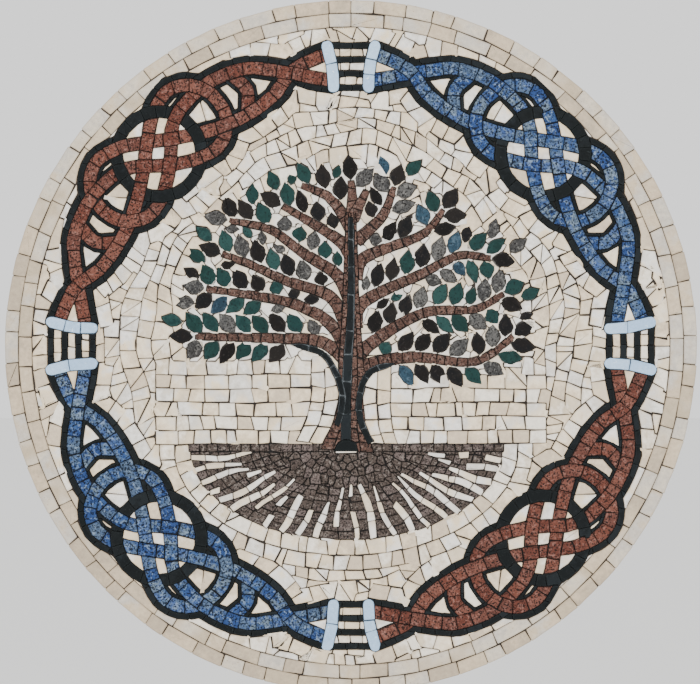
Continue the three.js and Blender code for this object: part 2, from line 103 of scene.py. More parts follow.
NIP = (0.3, 0.75)
LONG_SIDE = 6
SIDE_WAVER = 0.13
STONE_GLOSS = 0.12

# The ground
SEED_SPACING = 13.0
PAVING_START = 40.0
PAVING_ROW = (10.0, 14.0)
PAVING_PITCH = (8.0, 18.0)
PAVING_SLANT = 4
SPLIT_SHARE = 0.3
CROWN_SPACING = 9.5
COURSE_HEIGHT = 12.2
COURSE_PITCH = 25
BESIDE_TRUNK_ROW = 12
BOWL_ROW = 13

# The border rows
BORDER_WIDTH = 12.0
OUTER_STRIPS = 78
INNER_STRIPS = 73

# The woven band
KNOT_RADIUS = 239.0
KNOT_HALF_DEPTH = 37.5
STRAND_HALF = 5.9
OUTLINE_WIDTH = 5.4
RIM_WIDTH = 2.9
RING_RADIUS = 37.5
RING_HALF = 5.4
RING_PITCH = 14
STRAND_PITCH = 13.5
RUNG_PITCH = 13
OUTLINE_PITCH = 13
RIM_PITCH = 14
OUTER_ROW = 12
INNER_ROW = 13
QUARTER_MIDDLE = 45
QUARTER_HALF = 41
BARE_REACH = 35
STRAND_ROUTE = [
    (-42, 57), (-33.5, 27), (-28, -21), (-21, -42), (-13.6, -38), (-6.1, -7), (-0.8, 32), (3.2, 69),
    (7, 94), (10, 100), (13.3, 83), (15.9, 42), (16.7, -8), (15, -52), (11.2, -76), (6.2, -71),
    (1.2, -45), (-2.6, -11), (-5.8, 27), (-10.2, 52), (-17, 66), (-24, 60), (-30.3, 29), (-42, -16),
]
RUNG_ROUTE = [(-21.1, 60), (-22.9, 12), (-21.1, -38)]

# The clasps
CLASP_RADIUS = KNOT_RADIUS + 7
BAR_LENGTH = 46.6
BAR_WIDTH = 10.4
BAR_SPREAD = 33.0
BAR_FLARE = 7.0
STRIPE_PITCH = 12.3
STRIPE_WIDTH = 5.6
STRIPE_OVERLAP = 4
DARK_STRIPES = 4

# The tree, in units of TREE_UNIT
TREE_UNIT = 1.4
BRANCH_HALVES = (6.0, 2.9)
BRANCH_PITCH = 9.5
TRUNK_PITCH = 9
CORE_PITCH = 24
TRUNK_LINE_HALF = 2.7
TRUNK_LINE_PITCH = 15
CAP_RADIUS = 10.5
LEAF_LENGTH = 21.5
LEAF_WIDTH = 13.0
LEAF_PITCH = 14.6
LEAF_SHARE = 0.7
LEAF_FROM_TIP = 5.5
LEAF_ANGLE = 47
SHORTEST_LEAF = 12.5
LEAF_REACH = 19
CHIP_REACH = 16
CROWN_FLOOR = -34
LEAF_KINDS = ["green"] * 8 + ["black"] * 7 + ["grey"] * 4 + ["blue"]
BRANCHES = [
    [(-4, -8), (-20, 3), (-56, 5), (-98, 6)],
    [(-3, -2), (-14, 15), (-41, 28), (-91, 36)],
    [(-2, 10), (-13, 31), (-41, 41), (-60, 50), (-81, 58)],
    [(-1, 30), (-9, 45), (-31, 59), (-50, 73), (-77, 79)],
    [(0, 56), (-8, 67), (-43, 88)],
    [(0, 74), (-13, 93), (-31, 101)],
    [(0, 78), (1, 92), (0, 104)],
    [(2, -20), (12, -11), (42, -7), (78, -10), (102, 6)],
    [(3, -9), (14, 3), (46, 21), (78, 23), (96, 33)],
    [(3, 12), (8, 28), (46, 46), (68, 57), (88, 55)],
    [(3, 42), (9, 56), (45, 70), (58, 86)],
    [(3, 66), (20, 82), (27, 100)],
    [(1, 80), (10, 98)],
]
TRUNK_AXIS = [(-2.5, -66), (0, -30), (0, 0), (0, 84)]
TRUNK_HALVES = (24, 14, 10.5, 11.5, 10, 8, 7, 6.3, 5.3, 4.6)
CORE_AXIS = [(-3, -60), (-3.4, -35), (-2.5, -20), (-1.5, 0), (0, 20), (0, 81)]
CORE_HALVES = (4.2, 4.5, 4, 3.4, 3, 2.6, 2)
LEFT_LINE = [(-38, 1), (-20, -3.5), (-12, -12), (-6.5, -25), (-5.5, -35), (-7, -44), (-9, -50)]
RIGHT_LINE = [(28, -11), (14, -15), (8, -22), (5.6, -31), (5, -42), (8, -52), (12.5, -61)]
BOWL_MIDDLE = complex(-3, -64) * TREE_UNIT
BOWL_HALF = 99 * TREE_UNIT
ROOT_DEPTH = 82.0
ROOT_COUNT = 25
ROOT_BOW = 0.16
ROOT_SWAY = 1.7
ROOT_PITCH = 8.5
HUB_PITCH = 6.8
HUB_SHARES = (0.04, 0.12, 0.2, 0.28, 0.35)
CHIP_STARTS = (0.38, 0.66)
CHIP_SHARE = 0.88
GROUND_LINE_HALF = 3.4
GROUND_LINE_PITCH = 9

# The bed
BED_INSET = 1.2
BED_SHADE = 0xd8d4ca
NET_PITCH = 5.0
NET_DEPTH = 0.3
NET_SHADE = 0xf3f2ee
THREAD_HALF = 0.55

# Parts of a texture map, as the place and the size of a square in it
SEEN = (0.002, 0.95)
UNDERSIDE = (0.96, 0.035)
BED_FRONT = (0.002, 0.6)
BED_BACK = (0.61, 0.385)

# The view and the studio, in metres except for the picture's own pixels
IMAGE_WIDTH, IMAGE_HEIGHT = 700, 684
DISC_PIXEL = (351.0, 346.0)
DISC_PIXEL_RADIUS = 346.5
CAMERA_DISTANCE = 2.4
SENSOR_WIDTH = 36
FLOOR_LEVEL = -0.9
FLOOR_HALF = 30
SKY_STRENGTH = 1.3
LAMPS = [("key", (-1.5, -1.7, 1.9), 1.0, 60), ("fill", (2.0, -2.0, 0.6), 1.6, 40)]

# Levels, from the ground up
GROUND, CROWN, ROWS, BORDER, OUTLINE, CHIPS, RIM, RING_CHIPS, RUNG, UNDER, ALONG, OVER, TOP = range(13)


# Lines: arrays of complex numbers

def polar(angle, radius, centre=0):
    return centre + radius * cmath.exp(1j * math.radians(angle))


def travelled(line):
    return np.concatenate([[0], np.cumsum(np.abs(np.diff(line)))])


def at(line, places, way=None):
    """Points at distances along a line, or along another line that is followed at the same rate."""
    way = travelled(line) if way is None else way
    return np.interp(places, way, line.real) + 1j * np.interp(places, way, line.imag)


def spaced(line, step):
    length = travelled(line)[-1]
    return at(line, np.linspace(0, length, max(int(length / step), 2) + 1))


def smooth(points, step=1.5):
    """A smooth curve through points, with a point at each step."""
    points = np.array([complex(*point) if isinstance(point, tuple) else point for point in points])
    ends = [points[0], *points, points[-1]]
    share = np.linspace(0, 1, 12, endpoint=False)
    parts = [
        start + 0.5 * ((end - before) * share + (2 * before - 5 * start + 4 * end - after) * share**2
                       + (3 * start - before - 3 * end + after) * share**3)
        for before, start, end, after in zip(ends, ends[1:], ends[2:], ends[3:])
    ]
    return spaced(np.concatenate([*parts, points[-1:]]), step)


def heading(line):
    tangent = np.gradient(line)
    return tangent / np.abs(tangent)


def aside(line, distance):
    """The line moved to its left by a distance, or by one distance for each of its points."""
    return line + 1j * heading(line) * distance


def spread(values, line):
    """Evenly spaced values as one value for each point of a line."""
    way = travelled(line) / travelled(line)[-1]
    return np.interp(way, np.linspace(0, 1, len(values)), values)


def cross(one, other):
    return one.real * other.imag - one.imag * other.real


def crossings(one, other):
    """Distances along two lines of each place where they cross, or where a line crosses itself."""
    start, step = one[:-1, None], np.diff(one)[:, None]
    between = other[None, :-1] - start
    other_step = np.diff(other)[None]
    with np.errstate(divide="ignore", invalid="ignore"):
        area = cross(step, other_step)
        share = cross(between, other_step) / area
        other_share = cross(between, step) / area
    hit = (share >= 0) & (share < 1) & (other_share >= 0) & (other_share < 1)
    if one is other:
        hit &= np.triu(np.ones(hit.shape, bool), 2)
    way, other_way = travelled(one), travelled(other)
    return [(way[i] + share[i, j] * abs(step[i, 0]), other_way[j] + other_share[i, j] * abs(other_step[0, j]))
            for i, j in zip(*np.nonzero(hit))]


def cuts(length, pitch, fixed=(), loose=0.16):
    """Where a band is cut: at the fixed places, and between them about a pitch apart."""
    places = []
    marks = [0, *sorted(fixed), length]
    for start, end in zip(marks, marks[1:]):
        count = max(round((end - start) / pitch), 1)
        even = np.linspace(start, end, count, endpoint=False)
        even[1:] += rng.uniform(-loose, loose, count - 1) * pitch
        places.extend(even)
    return [*places, length]


# Laying shapes

layout = []


def lay(level, piece, outline):
    """Lays a shape of one stone, given as complex numbers in order round it."""
    outline = np.array(outline)
    if cross(outline, np.roll(outline, -1)).sum() < 0:
        outline = outline[::-1]
    layout.append((level, piece, outline))


def band_stones(line, low, high, places, slant=0.0):
    """Outlines of the stones between two lines beside a line, cut at distances along it."""
    left, right, way = aside(line, high), aside(line, low), travelled(line)
    leans = rng.uniform(-slant, slant, len(places))
    leans[0] = leans[-1] = 0
    for start, end, lean, next_lean in zip(places, places[1:], leans, leans[1:]):
        middle = (start + end) / 2
        yield [*at(left, [start + lean, middle, end + next_lean], way),
               *at(right, [end - next_lean, middle, start - lean], way)]


def lay_band(level, piece, line, low, high, pitch, fixed=(), slant=0.0, loose=0.16):
    places = cuts(travelled(line)[-1], pitch, fixed, loose)
    for outline in band_stones(line, low, high, places, slant):
        lay(level, piece, outline)


def clipped(outline, point, inward):
    """A convex outline without what lies beyond a straight cut."""
    beyond = [((corner - point) * inward.conjugate()).real for corner in outline]
    kept = []
    for (corner, side), (after, next_side) in zip(
            zip(outline, beyond), zip(outline[1:] + outline[:1], beyond[1:] + beyond[:1])):
        if side >= 0:
            kept.append(corner)
        if side * next_side < 0:
            kept.append(corner + (after - corner) * side / (side - next_side))
    return kept


# The ground: irregular stones, with rows of strips along its edges

def lay_cells(level, piece, spots, reach, ceiling=math.inf, chosen=None):
    """Lays the cell of each chosen spot: all that is nearer to it than to the others, up to a ceiling."""
    spots = np.array(spots)
    for spot in spots if chosen is None else filter(chosen, spots):
        cell = [spot + reach * corner for corner in (-1 - 1j, 1 - 1j, 1 + 1j, -1 + 1j)]
        near = spots[(np.abs(spots - spot) < 2 * reach) & (spots != spot)]
        for other in near[np.argsort(np.abs(near - spot))]:
            cell = clipped(cell, (spot + other) / 2, spot - other)
        if ceiling < math.inf:
            cell = clipped(cell, 1j * ceiling, -1j)
        lay(level, piece, [corner * min(1, (DISC_RADIUS - BORDER_WIDTH) / abs(corner)) for corner in cell])


def scattered(spacing, radius, loose):
    """Spots in staggered rows, each moved a little."""
    count = int(radius / spacing) + 1
    spots = []
    for row in range(-count, count + 1):
        for place in range(-count, count + 1):
            spot = complex(place + 0.5 * (row % 2), row * 0.9) * spacing
            spot += complex(*rng.uniform(-loose, loose, 2)) * spacing
            if abs(spot) < radius:
                spots.append(spot)
    return spots


def lay_ground():
    lay_cells(GROUND, "ground", scattered(SEED_SPACING, DISC_RADIUS - BORDER_WIDTH, 0.34), 2 * SEED_SPACING)
    radius = PAVING_START
    while radius < DISC_RADIUS - 2 * BORDER_WIDTH:
        following = radius + rng.uniform(*PAVING_ROW)
        lay_paving_row(radius, following)
        radius = following


def wavy(radius, turns):
    """Points on a crooked ring round the picture's middle."""
    waves = 6 * np.sin(2 * turns + radius / 37) + 4 * np.sin(5 * turns - radius / 29)
    waves += 2.2 * np.sin(11 * turns + radius / 17) + 1.2 * np.sin(23 * turns - radius / 13)
    return (radius + waves) * np.exp(1j * turns)


def lay_paving_row(low, high):
    """A row of mostly four-cornered stones between two crooked rings."""
    place, cut_places = 0.0, [0.0]
    while place < 2 * math.pi * low - PAVING_PITCH[1]:
        place += rng.uniform(*PAVING_PITCH)
        cut_places.append(place)
    slants = rng.uniform(-PAVING_SLANT, PAVING_SLANT, len(cut_places))
    starts = np.array(cut_places) / low
    ends = (np.array(cut_places) + slants) / low
    for start, end, high_start, high_end in zip(
            starts, [*starts[1:], 2 * math.pi], ends, [*ends[1:], 2 * math.pi + ends[0]]):
        inner = wavy(low, np.linspace(start, end, 5))
        outer = wavy(high, np.linspace(high_end, high_start, 5))
        if rng.random() < SPLIT_SHARE:
            lay(GROUND, "ground", [*inner, outer[0]])
            lay(GROUND, "ground", [inner[0], *outer])
        else:
            lay(GROUND, "ground", [*inner, *outer])


def lay_border():
    for row, (piece, count) in enumerate([("border_outer", OUTER_STRIPS), ("border_inner", INNER_STRIPS)]):
        outer = DISC_RADIUS - row * BORDER_WIDTH
        ring = np.array([polar(turn, outer) for turn in np.linspace(90, 450, 361)])
        lay_band(BORDER, piece, ring, 0, BORDER_WIDTH, travelled(ring)[-1] / count, slant=0.5, loose=0.22)


# The woven band, drawn for the upper right quarter and turned for the others

QUARTERS = ["upper_right", "upper_left", "lower_left", "lower_right"]


def band_point(along, out):
    return polar(QUARTER_MIDDLE - along, KNOT_RADIUS + out * KNOT_HALF_DEPTH / 100)


def mirrored(route):
    return [(-along, out) for along, out in route]


def knot_line(route):
    return smooth([band_point(*spot) for spot in route])


strands = [knot_line(STRAND_ROUTE), knot_line(mirrored(STRAND_ROUTE))]
rungs = [knot_line(RUNG_ROUTE), knot_line(mirrored(RUNG_ROUTE))]
ring_centre = polar(QUARTER_MIDDLE, KNOT_RADIUS)
ring = np.array([polar(turn, RING_RADIUS, ring_centre) for turn in np.linspace(90, 450, 121)])
woven = [*strands, ring]


def weave():
    """Each place where a woven line passes another: distances along it, what passes over, and its reach."""
    found = []
    for first, one in enumerate(woven):
        for second in range(first, len(woven)):
            for place, other_place in crossings(one, woven[second]):
                found.append([{"line": first, "at": place}, {"line": second, "at": other_place}])
    for index in range(len(strands)):
        passes = sorted((item for pair in found for item in pair if item["line"] == index),
                        key=lambda item: item["at"])
        for order, item in enumerate(passes):
            item["over"] = (order + index) % 2 == 0
    for one, other in found:
        for item, partner in ((one, other), (other, one)):
            item.setdefault("over", not partner.get("over"))
        one_way, other_way = (
            at(woven[item["line"]], [item["at"] - 1, item["at"] + 1]) for item in (one, other))
        sine = abs(cross(np.diff(one_way)[0], np.diff(other_way)[0])) / 4
        reach = min((STRAND_HALF + STRAND_HALF * math.sqrt(1 - sine**2)) / sine + 0.6, 13)
        one["reach"] = other["reach"] = reach
    return [item for pair in found for item in pair]


def envelope():
    """The outer and the inner edge of the band's middle lines, as radii for angles."""
    points = np.concatenate([*woven, *rungs])
    turns = np.degrees(np.angle(points))
    angles = np.arange(QUARTER_MIDDLE - QUARTER_HALF, QUARTER_MIDDLE + QUARTER_HALF + 0.5, 1)
    near = [np.abs(points[np.abs(turns - angle) < 0.8]) for angle in angles]
    return angles, np.array([radii.max() for radii in near]), np.array([radii.min() for radii in near])


def between_bars(outline):
    """A convex outline of the first quarter without what lies past the middles of its two bars."""
    low, high = bar_line(1)[[0, -1]]
    outline = clipped(list(outline), low, (high - low) * -1j)
    low, high = complex(low.imag, low.real), complex(high.imag, high.real)
    return clipped(outline, low, (high - low) * 1j) if outline else outline


passes = weave()


def lay_woven_line(index, turn, piece, half, pitch):
    line = woven[index]
    own = [item for item in passes if item["line"] == index]
    length = travelled(line)[-1]
    fixed = []
    for item in own:
        fixed += [item["at"] - item["reach"], item["at"] + item["reach"]] if item["over"] else [item["at"]]
    fixed = [place for place in sorted(fixed) if 3 < place < length - 3]
    fixed = [place for place, before in zip(fixed, [-9, *fixed]) if place - before > 4]
    places = cuts(length, pitch, fixed)
    for start, end, outline in zip(places, places[1:], band_stones(line, -half, half, places, 0.5)):
        level = ALONG
        for item in own:
            if start - 1 < item["at"] < end + 1:
                level = OVER if item["over"] else UNDER
        lay(level, piece, np.array(outline) * turn)


def lay_knot(quarter):
    turn = 1j**quarter
    name = QUARTERS[quarter]
    angles, outer, inner = envelope()
    edge = np.array([*(polar(*spot) for spot in zip(angles, outer)),
                     *(polar(*spot) for spot in zip(angles[::-1], inner[::-1]))])
    stones, dark, chips = (f"knot_{name}_{part}" for part in ("strands", "dark", "chips"))
    for index, line in enumerate([*strands, *rungs]):
        length = travelled(line)[-1]
        for side in (-1, 1):
            edges = sorted([side * STRAND_HALF, side * (STRAND_HALF + OUTLINE_WIDTH)])
            for outline in band_stones(line, *edges, cuts(length, OUTLINE_PITCH), 0.8):
                outline = between_bars(outline)
                if outline and index < len(strands):
                    lay(OUTLINE, dark, np.array(outline) * turn)
            edges = sorted([side * STRAND_HALF, side * (STRAND_HALF + RIM_WIDTH)])
            for outline in band_stones(line, *edges, cuts(length, RIM_PITCH), 0.5):
                along = abs(math.degrees(cmath.phase(np.mean(outline))) - QUARTER_MIDDLE)
                if along < BARE_REACH and inside(np.array([np.mean(outline)]), edge)[0]:
                    lay(RIM, dark, np.array(outline) * turn)
    lay(CHIPS, chips, edge * turn)
    disc = [polar(step * 15, RING_RADIUS, ring_centre) for step in range(24)]
    lay(RING_CHIPS, chips, np.array(disc) * turn)
    for line in rungs:
        places = cuts(travelled(line)[-1], RUNG_PITCH)
        for outline in band_stones(line, -STRAND_HALF, STRAND_HALF, places, 0.5):
            lay(RUNG, stones, np.array(outline) * turn)
    for index in range(len(strands)):
        lay_woven_line(index, turn, stones, STRAND_HALF, STRAND_PITCH)
    lay_woven_line(len(strands), turn, dark, RING_HALF, RING_PITCH)


def lay_knot_rows():
    """Rows of strips that follow the outer and the inner edge of the band."""
    angles, outer, inner = envelope()
    margin = STRAND_HALF + OUTLINE_WIDTH
    for quarter in range(4):
        for radii, low, high, pitch in (
                (outer + margin, -OUTER_ROW, 0, 19), (inner - margin, 0, INNER_ROW, 17)):
            edge = spaced(np.array([polar(*spot) for spot in zip(angles, radii)]), 6)
            edge = smooth(edge) * 1j**quarter
            lay_band(ROWS, "ground", edge, low, high, pitch, slant=1.5, loose=0.25)


# Clasps

CLASPS = ["top", "left", "bottom", "right"]


def bar_line(side):
    places = [(side * (BAR_SPREAD / 2 + place * (place + 1.6) * BAR_FLARE / 4),
               CLASP_RADIUS + place * (BAR_LENGTH - BAR_WIDTH) / 2) for place in (-1, 0, 1)]
    return smooth(places)


def lay_clasp(clasp):
    turn = 1j**clasp
    bars, stripes, lights = (f"clasp_{CLASPS[clasp]}_{part}" for part in ("bars", "stripes", "lights"))
    half = BAR_SPREAD / 2 + STRIPE_OVERLAP
    for row in range(2 * DARK_STRIPES - 1):
        level = CLASP_RADIUS + (row / 2 - (DARK_STRIPES - 1) / 2) * STRIPE_PITCH
        line = np.array([complex(-half, level), complex(half, level)]) * turn
        light = row % 2
        piece, width = (lights, STRIPE_PITCH - STRIPE_WIDTH) if light else (stripes, STRIPE_WIDTH)
        pitch = 2 * half / rng.integers(2, 4 + light)
        lay_band(TOP, piece, line, -width / 2, width / 2, pitch, slant=0.4)
    for side in (-1, 1):
        line = bar_line(side)
        length = travelled(line)[-1]
        ends = [line[0], line[-1]]
        places = cuts(length, length / rng.integers(2, 4))
        outlines = list(band_stones(line, -BAR_WIDTH / 2, BAR_WIDTH / 2, places, 0.3))
        for end, back in ((0, True), (-1, False)):
            ahead = cmath.phase(heading(line)[end]) + (math.pi if back else 0)
            arc = [line[end] + BAR_WIDTH / 2 * cmath.exp(1j * (ahead + math.radians(90 - step)))
                   for step in range(0, 181, 30)]
            # A stone's corners run forward on the left and back on the right, three on each side
            outline = outlines[end]
            outlines[end] = [*outline[1:5], *arc] if back else [*outline[:2], *arc, *outline[4:]]
        for outline in outlines:
            lay(TOP + 1, bars, np.array(outline) * turn)


# The tree

def tree_line(route, step=1.5):
    return smooth([complex(*spot) * TREE_UNIT for spot in route], step)


branches = [tree_line(route) for route in BRANCHES]
trunk = tree_line(TRUNK_AXIS)
trunk_core = tree_line(CORE_AXIS)
trunk_lines = [tree_line(LEFT_LINE), tree_line(RIGHT_LINE)]


def lay_wood():
    for line in branches:
        halves = spread(BRANCH_HALVES, line)
        lay_band(ALONG, "branches", line, -halves, halves, BRANCH_PITCH, slant=1.2, loose=0.25)
    halves = spread(TRUNK_HALVES, trunk)
    for low, high in ((-1, -0.5), (-0.5, 0), (0, 0.5), (0.5, 1)):
        lay_band(OVER, "branches", trunk, low * halves, high * halves, TRUNK_PITCH, slant=1, loose=0.3)
    halves = spread(CORE_HALVES, trunk_core)
    lay_band(TOP, "core", trunk_core, -halves, halves, CORE_PITCH, slant=0.5, loose=0.25)
    for line in trunk_lines:
        taper = np.minimum(travelled(line) / 9, 1) * TRUNK_LINE_HALF
        lay_band(TOP, "core", line, -taper, taper, TRUNK_LINE_PITCH, slant=0.8)


def lay_cap():
    middle = BOWL_MIDDLE - 3j
    lay(TOP + 1, "cap", [polar(turn, CAP_RADIUS, middle) for turn in range(0, 181, 15)])
    reach, thickness = CAP_RADIUS * 0.9, 1.9j
    lay(TOP + 1, "root_chips", [middle - reach, middle - reach - thickness, middle + reach - thickness,
                                middle + reach])


def leaf_outline(foot, ahead, size, wide):
    """A leaf with a pointed foot and tip, given its foot, direction, length and width."""
    shape = [(0, 0), (0.2, -0.36), (0.42, -0.5), (0.6, -0.46), (0.8, -0.26), (1, 0),
             (0.8, 0.26), (0.6, 0.46), (0.42, 0.5), (0.2, 0.36)]
    return np.array([foot + ahead * (along * size + 1j * side * wide) for along, side in shape])


def apart(one, other):
    """Whether a straight line along an edge of one of two convex outlines divides them."""
    for outline, points in ((one, other), (other, one)):
        edges = np.roll(outline, -1) - outline
        own = cross(edges[:, None], outline[None] - outline[:, None])
        far = cross(edges[:, None], points[None] - outline[:, None])
        inward = np.sign(own.max(1) + own.min(1))[:, None]
        if (far * inward <= 0).all(1).any():
            return True
    return False


def leaf_spots(line):
    """The foot and direction of each leaf of a branch: one on its tip, and a row along each side."""
    way, ahead = travelled(line), heading(line)
    spots = [(line[-1] + ahead[-1], ahead[-1], 0)]
    halves = spread(BRANCH_HALVES, line)
    for side in (-1, 1):
        edge = aside(line, side * (halves + 0.3))
        for place in np.arange(way[-1] - LEAF_FROM_TIP, 0, -LEAF_PITCH):
            spots.append((at(edge, place, way)[()], at(ahead, place, way)[()], side))
    return spots


def wood_shapes():
    """Convex shapes that cover the trunk, its dark lines and the branches."""
    shapes = []
    limbs = [(trunk, spread(TRUNK_HALVES, trunk)), *((line, TRUNK_LINE_HALF + 0.3) for line in trunk_lines)]
    limbs += [(line, spread(BRANCH_HALVES, line)) for line in branches]
    for line, halves in limbs:
        places = np.linspace(0, travelled(line)[-1], max(int(travelled(line)[-1] / 9), 2) + 1)
        edges = [at(aside(line, side * (halves - 0.5)), places, travelled(line)) for side in (-1, 1)]
        for index in range(len(places) - 1):
            shapes.append(np.array([*edges[0][index:index + 2], *edges[1][index:index + 2][::-1]]))
    return shapes


def free_way(foot, ahead, shapes):
    """How far a leaf can grow from its foot before it meets wood."""
    ways = np.arange(7.0, 60, 1.5)
    points = foot + ahead * ways
    hit = np.zeros(len(ways), bool)
    for shape in shapes:
        if abs(shape.mean() - foot) < 70:
            hit |= inside(points, shape)
    return ways[hit.argmax()] if hit.any() else 60


def lay_leaves():
    wood = wood_shapes()
    taken = list(wood)
    lay_cells(CROWN, "crown_chips", scattered(CROWN_SPACING, 185, 0.36), 2.2 * CROWN_SPACING,
              chosen=lambda spot: in_crown(spot, CHIP_REACH))
    feet = [spot for line in branches for spot in leaf_spots(line)]
    for foot, ahead, side in feet:
        usual = LEAF_LENGTH * rng.uniform(0.93, 1.08)
        lean = LEAF_ANGLE + rng.uniform(-6, 6)
        wide = LEAF_WIDTH * rng.uniform(0.95, 1.12)
        free = free_way(foot, ahead * cmath.exp(1j * side * math.radians(lean)), wood)
        usual = min(usual, max(LEAF_SHARE * free, SHORTEST_LEAF))
        tries = [(usual * share, lean + more, wide * slim) for share in (1, 0.9, 0.8, 0.7)
                 for slim in (1, 0.86) for more in (0, 8, -8, 16, -16, 24)]
        laid = grow_leaf(foot, ahead, side, tries, taken)
        if laid is not None and side:
            lay_sliver(laid, side)
    fill_crown(taken)


def fill_crown(taken):
    """Lays smaller leaves in the room that the rows of leaves leave."""
    for spot in scattered(5.5, 165, 0.4):
        if in_crown(spot, LEAF_REACH):
            outward = spot - complex(0, -20)
            floor = 10 if spot.real < 0 else -7 + max(spot.real - 100, 0) / 2
            tries = [(LEAF_LENGTH * share, turn, 0.6 * LEAF_LENGTH * share) for share in (0.9, 0.75, 0.62)
                     for turn in (0, 30, -30, 60, -60, 90, -90, 130, -130)]
            grow_leaf(spot, outward / abs(outward), 1, tries, taken, floor)


def in_crown(spot, reach):
    """Whether a place is among the leaves: within reach of a branch, and away from the trunk's foot."""
    near = min(np.abs(line[::6] - spot).min() for line in branches)
    return near < reach and spot.imag > CROWN_FLOOR


def grow_leaf(foot, ahead, side, tries, taken, floor=-math.inf):
    """Lays the first leaf of some sizes, angles and widths that has room, and returns its outline."""
    reach = KNOT_RADIUS - 1.4 * KNOT_HALF_DEPTH
    for size, angle, wide in tries:
        turned = ahead * cmath.exp(1j * side * math.radians(angle))
        outline = leaf_outline(foot, turned, size, wide)
        if abs(outline[5]) > reach or outline.imag.min() < floor:
            continue
        if all(apart(outline, other) for other in taken if abs(other[0] - foot) < 50):
            taken.append(outline)
            lay(ALONG, f"leaves_{rng.choice(LEAF_KINDS)}", outline)
            return outline
    return None


def lay_sliver(leaf, side):
    """The pale wedge beside a leaf, toward the trunk."""
    foot, tip = leaf[0], leaf[5]
    across = (tip - foot) * 1j * side / abs(tip - foot)
    low, high = foot + (tip - foot) * 0.3 + across * 4, tip + across * 2
    lay(CROWN, "crown_chips", [low, high, high + across * 6, low + across * 6])


# The roots

def bowl_point(turn, grow=0.0):
    turn = math.radians(turn)
    return BOWL_MIDDLE + complex((BOWL_HALF + grow) * math.cos(turn), (ROOT_DEPTH + grow) * math.sin(turn))


def root_line(place, start=0.12):
    """A line from the hub to the bowl's rim that bows outward, at a place from 0 to ROOT_COUNT."""
    rim = bowl_point(180 * (1 + place / ROOT_COUNT), -1) - BOWL_MIDDLE
    line = smooth([BOWL_MIDDLE + complex(rim.real * (down + ROOT_BOW * (1 - down)), rim.imag * down)
                   for down in np.linspace(start, 1, 5)])
    return aside(line, ROOT_SWAY * np.sin(np.abs(line - BOWL_MIDDLE) / 9 + 1.9 * place))


def lay_root_chips():
    """Short pale stones that wedge the roots apart."""
    for gap in range(1, ROOT_COUNT):
        line = root_line(gap, rng.uniform(*CHIP_STARTS))
        length = travelled(line)[-1]
        halves = spread((1.5, 2.6, 3.0, 2.7), line) * rng.uniform(0.8, 1.2)
        for outline in band_stones(line, -halves, halves, cuts(length, 13, loose=0.3), 0.8):
            if rng.random() < CHIP_SHARE:
                lay(UNDER, "root_chips", outline)


def lay_roots():
    lines = [root_line(place + rng.uniform(-0.12, 0.12) * (0 < place < ROOT_COUNT))
             for place in range(ROOT_COUNT + 1)]
    for left, right in zip(lines, lines[1:]):
        lengths = [travelled(line)[-1] for line in (left, right)]
        shares = np.array(cuts(1, ROOT_PITCH / max(lengths), loose=0.2))
        for start, end in zip(shares, shares[1:]):
            lay(RIM, "roots", [*at(left, np.linspace(start, end, 3) * lengths[0]),
                               *at(right, np.linspace(end, start, 3) * lengths[1])])
    hub = []
    for share in HUB_SHARES:
        row = np.array([BOWL_MIDDLE + share * (bowl_point(turn) - BOWL_MIDDLE)
                        for turn in range(180, 361, 3)])
        for place in np.arange(rng.uniform(0, HUB_PITCH), travelled(row)[-1], HUB_PITCH):
            hub.append(complex(at(row, place)) + complex(*rng.uniform(-2, 2, 2)))
    lay_cells(RUNG, "roots", hub, 0.9 * HUB_PITCH, BOWL_MIDDLE.imag)
    line = np.array([BOWL_MIDDLE - BOWL_HALF, BOWL_MIDDLE + BOWL_HALF])
    lay_band(ALONG, "roots", spaced(line, 4), -GROUND_LINE_HALF, GROUND_LINE_HALF, GROUND_LINE_PITCH,
             slant=0.6, loose=0.25)
    lay_root_chips()


def lay_bowl_rows():
    for row in range(2):
        edge = np.array([bowl_point(turn, row * BOWL_ROW) for turn in np.linspace(176, 364, 95)])
        lay_band(ROWS, "ground", edge, -BOWL_ROW, 0, 24 - 3 * row, slant=1, loose=0.2)


def lay_courses():
    """Rows of bricks beside the trunk, and curved rows between them and the trunk."""
    floor = BOWL_MIDDLE.imag + GROUND_LINE_HALF
    for side, low, high, rows in ((-1, -172, -34, 6), (1, 34, 172, 5)):
        for row in range(rows):
            level = floor + COURSE_HEIGHT * (row + 0.5)
            line = spaced(np.array([complex(low, level), complex(high, level)]), 4)
            line = line + 1j * 0.7 * np.sin(line.real / 21 + row)
            lay_band(ROWS, "ground", line, -COURSE_HEIGHT / 2, COURSE_HEIGHT / 2, COURSE_PITCH,
                     slant=0.8, loose=0.3)
        low_part = (trunk.imag > floor - 2) & (trunk.imag < -8)
        halves = spread(TRUNK_HALVES, trunk)[low_part]
        for row in range(2):
            edges = [-side * (halves + BESIDE_TRUNK_ROW * step) for step in (row, row + 1)]
            lay_band(ROWS, "ground", trunk[low_part], *edges[::-side], 14, slant=1.5, loose=0.25)


# From shapes to stones

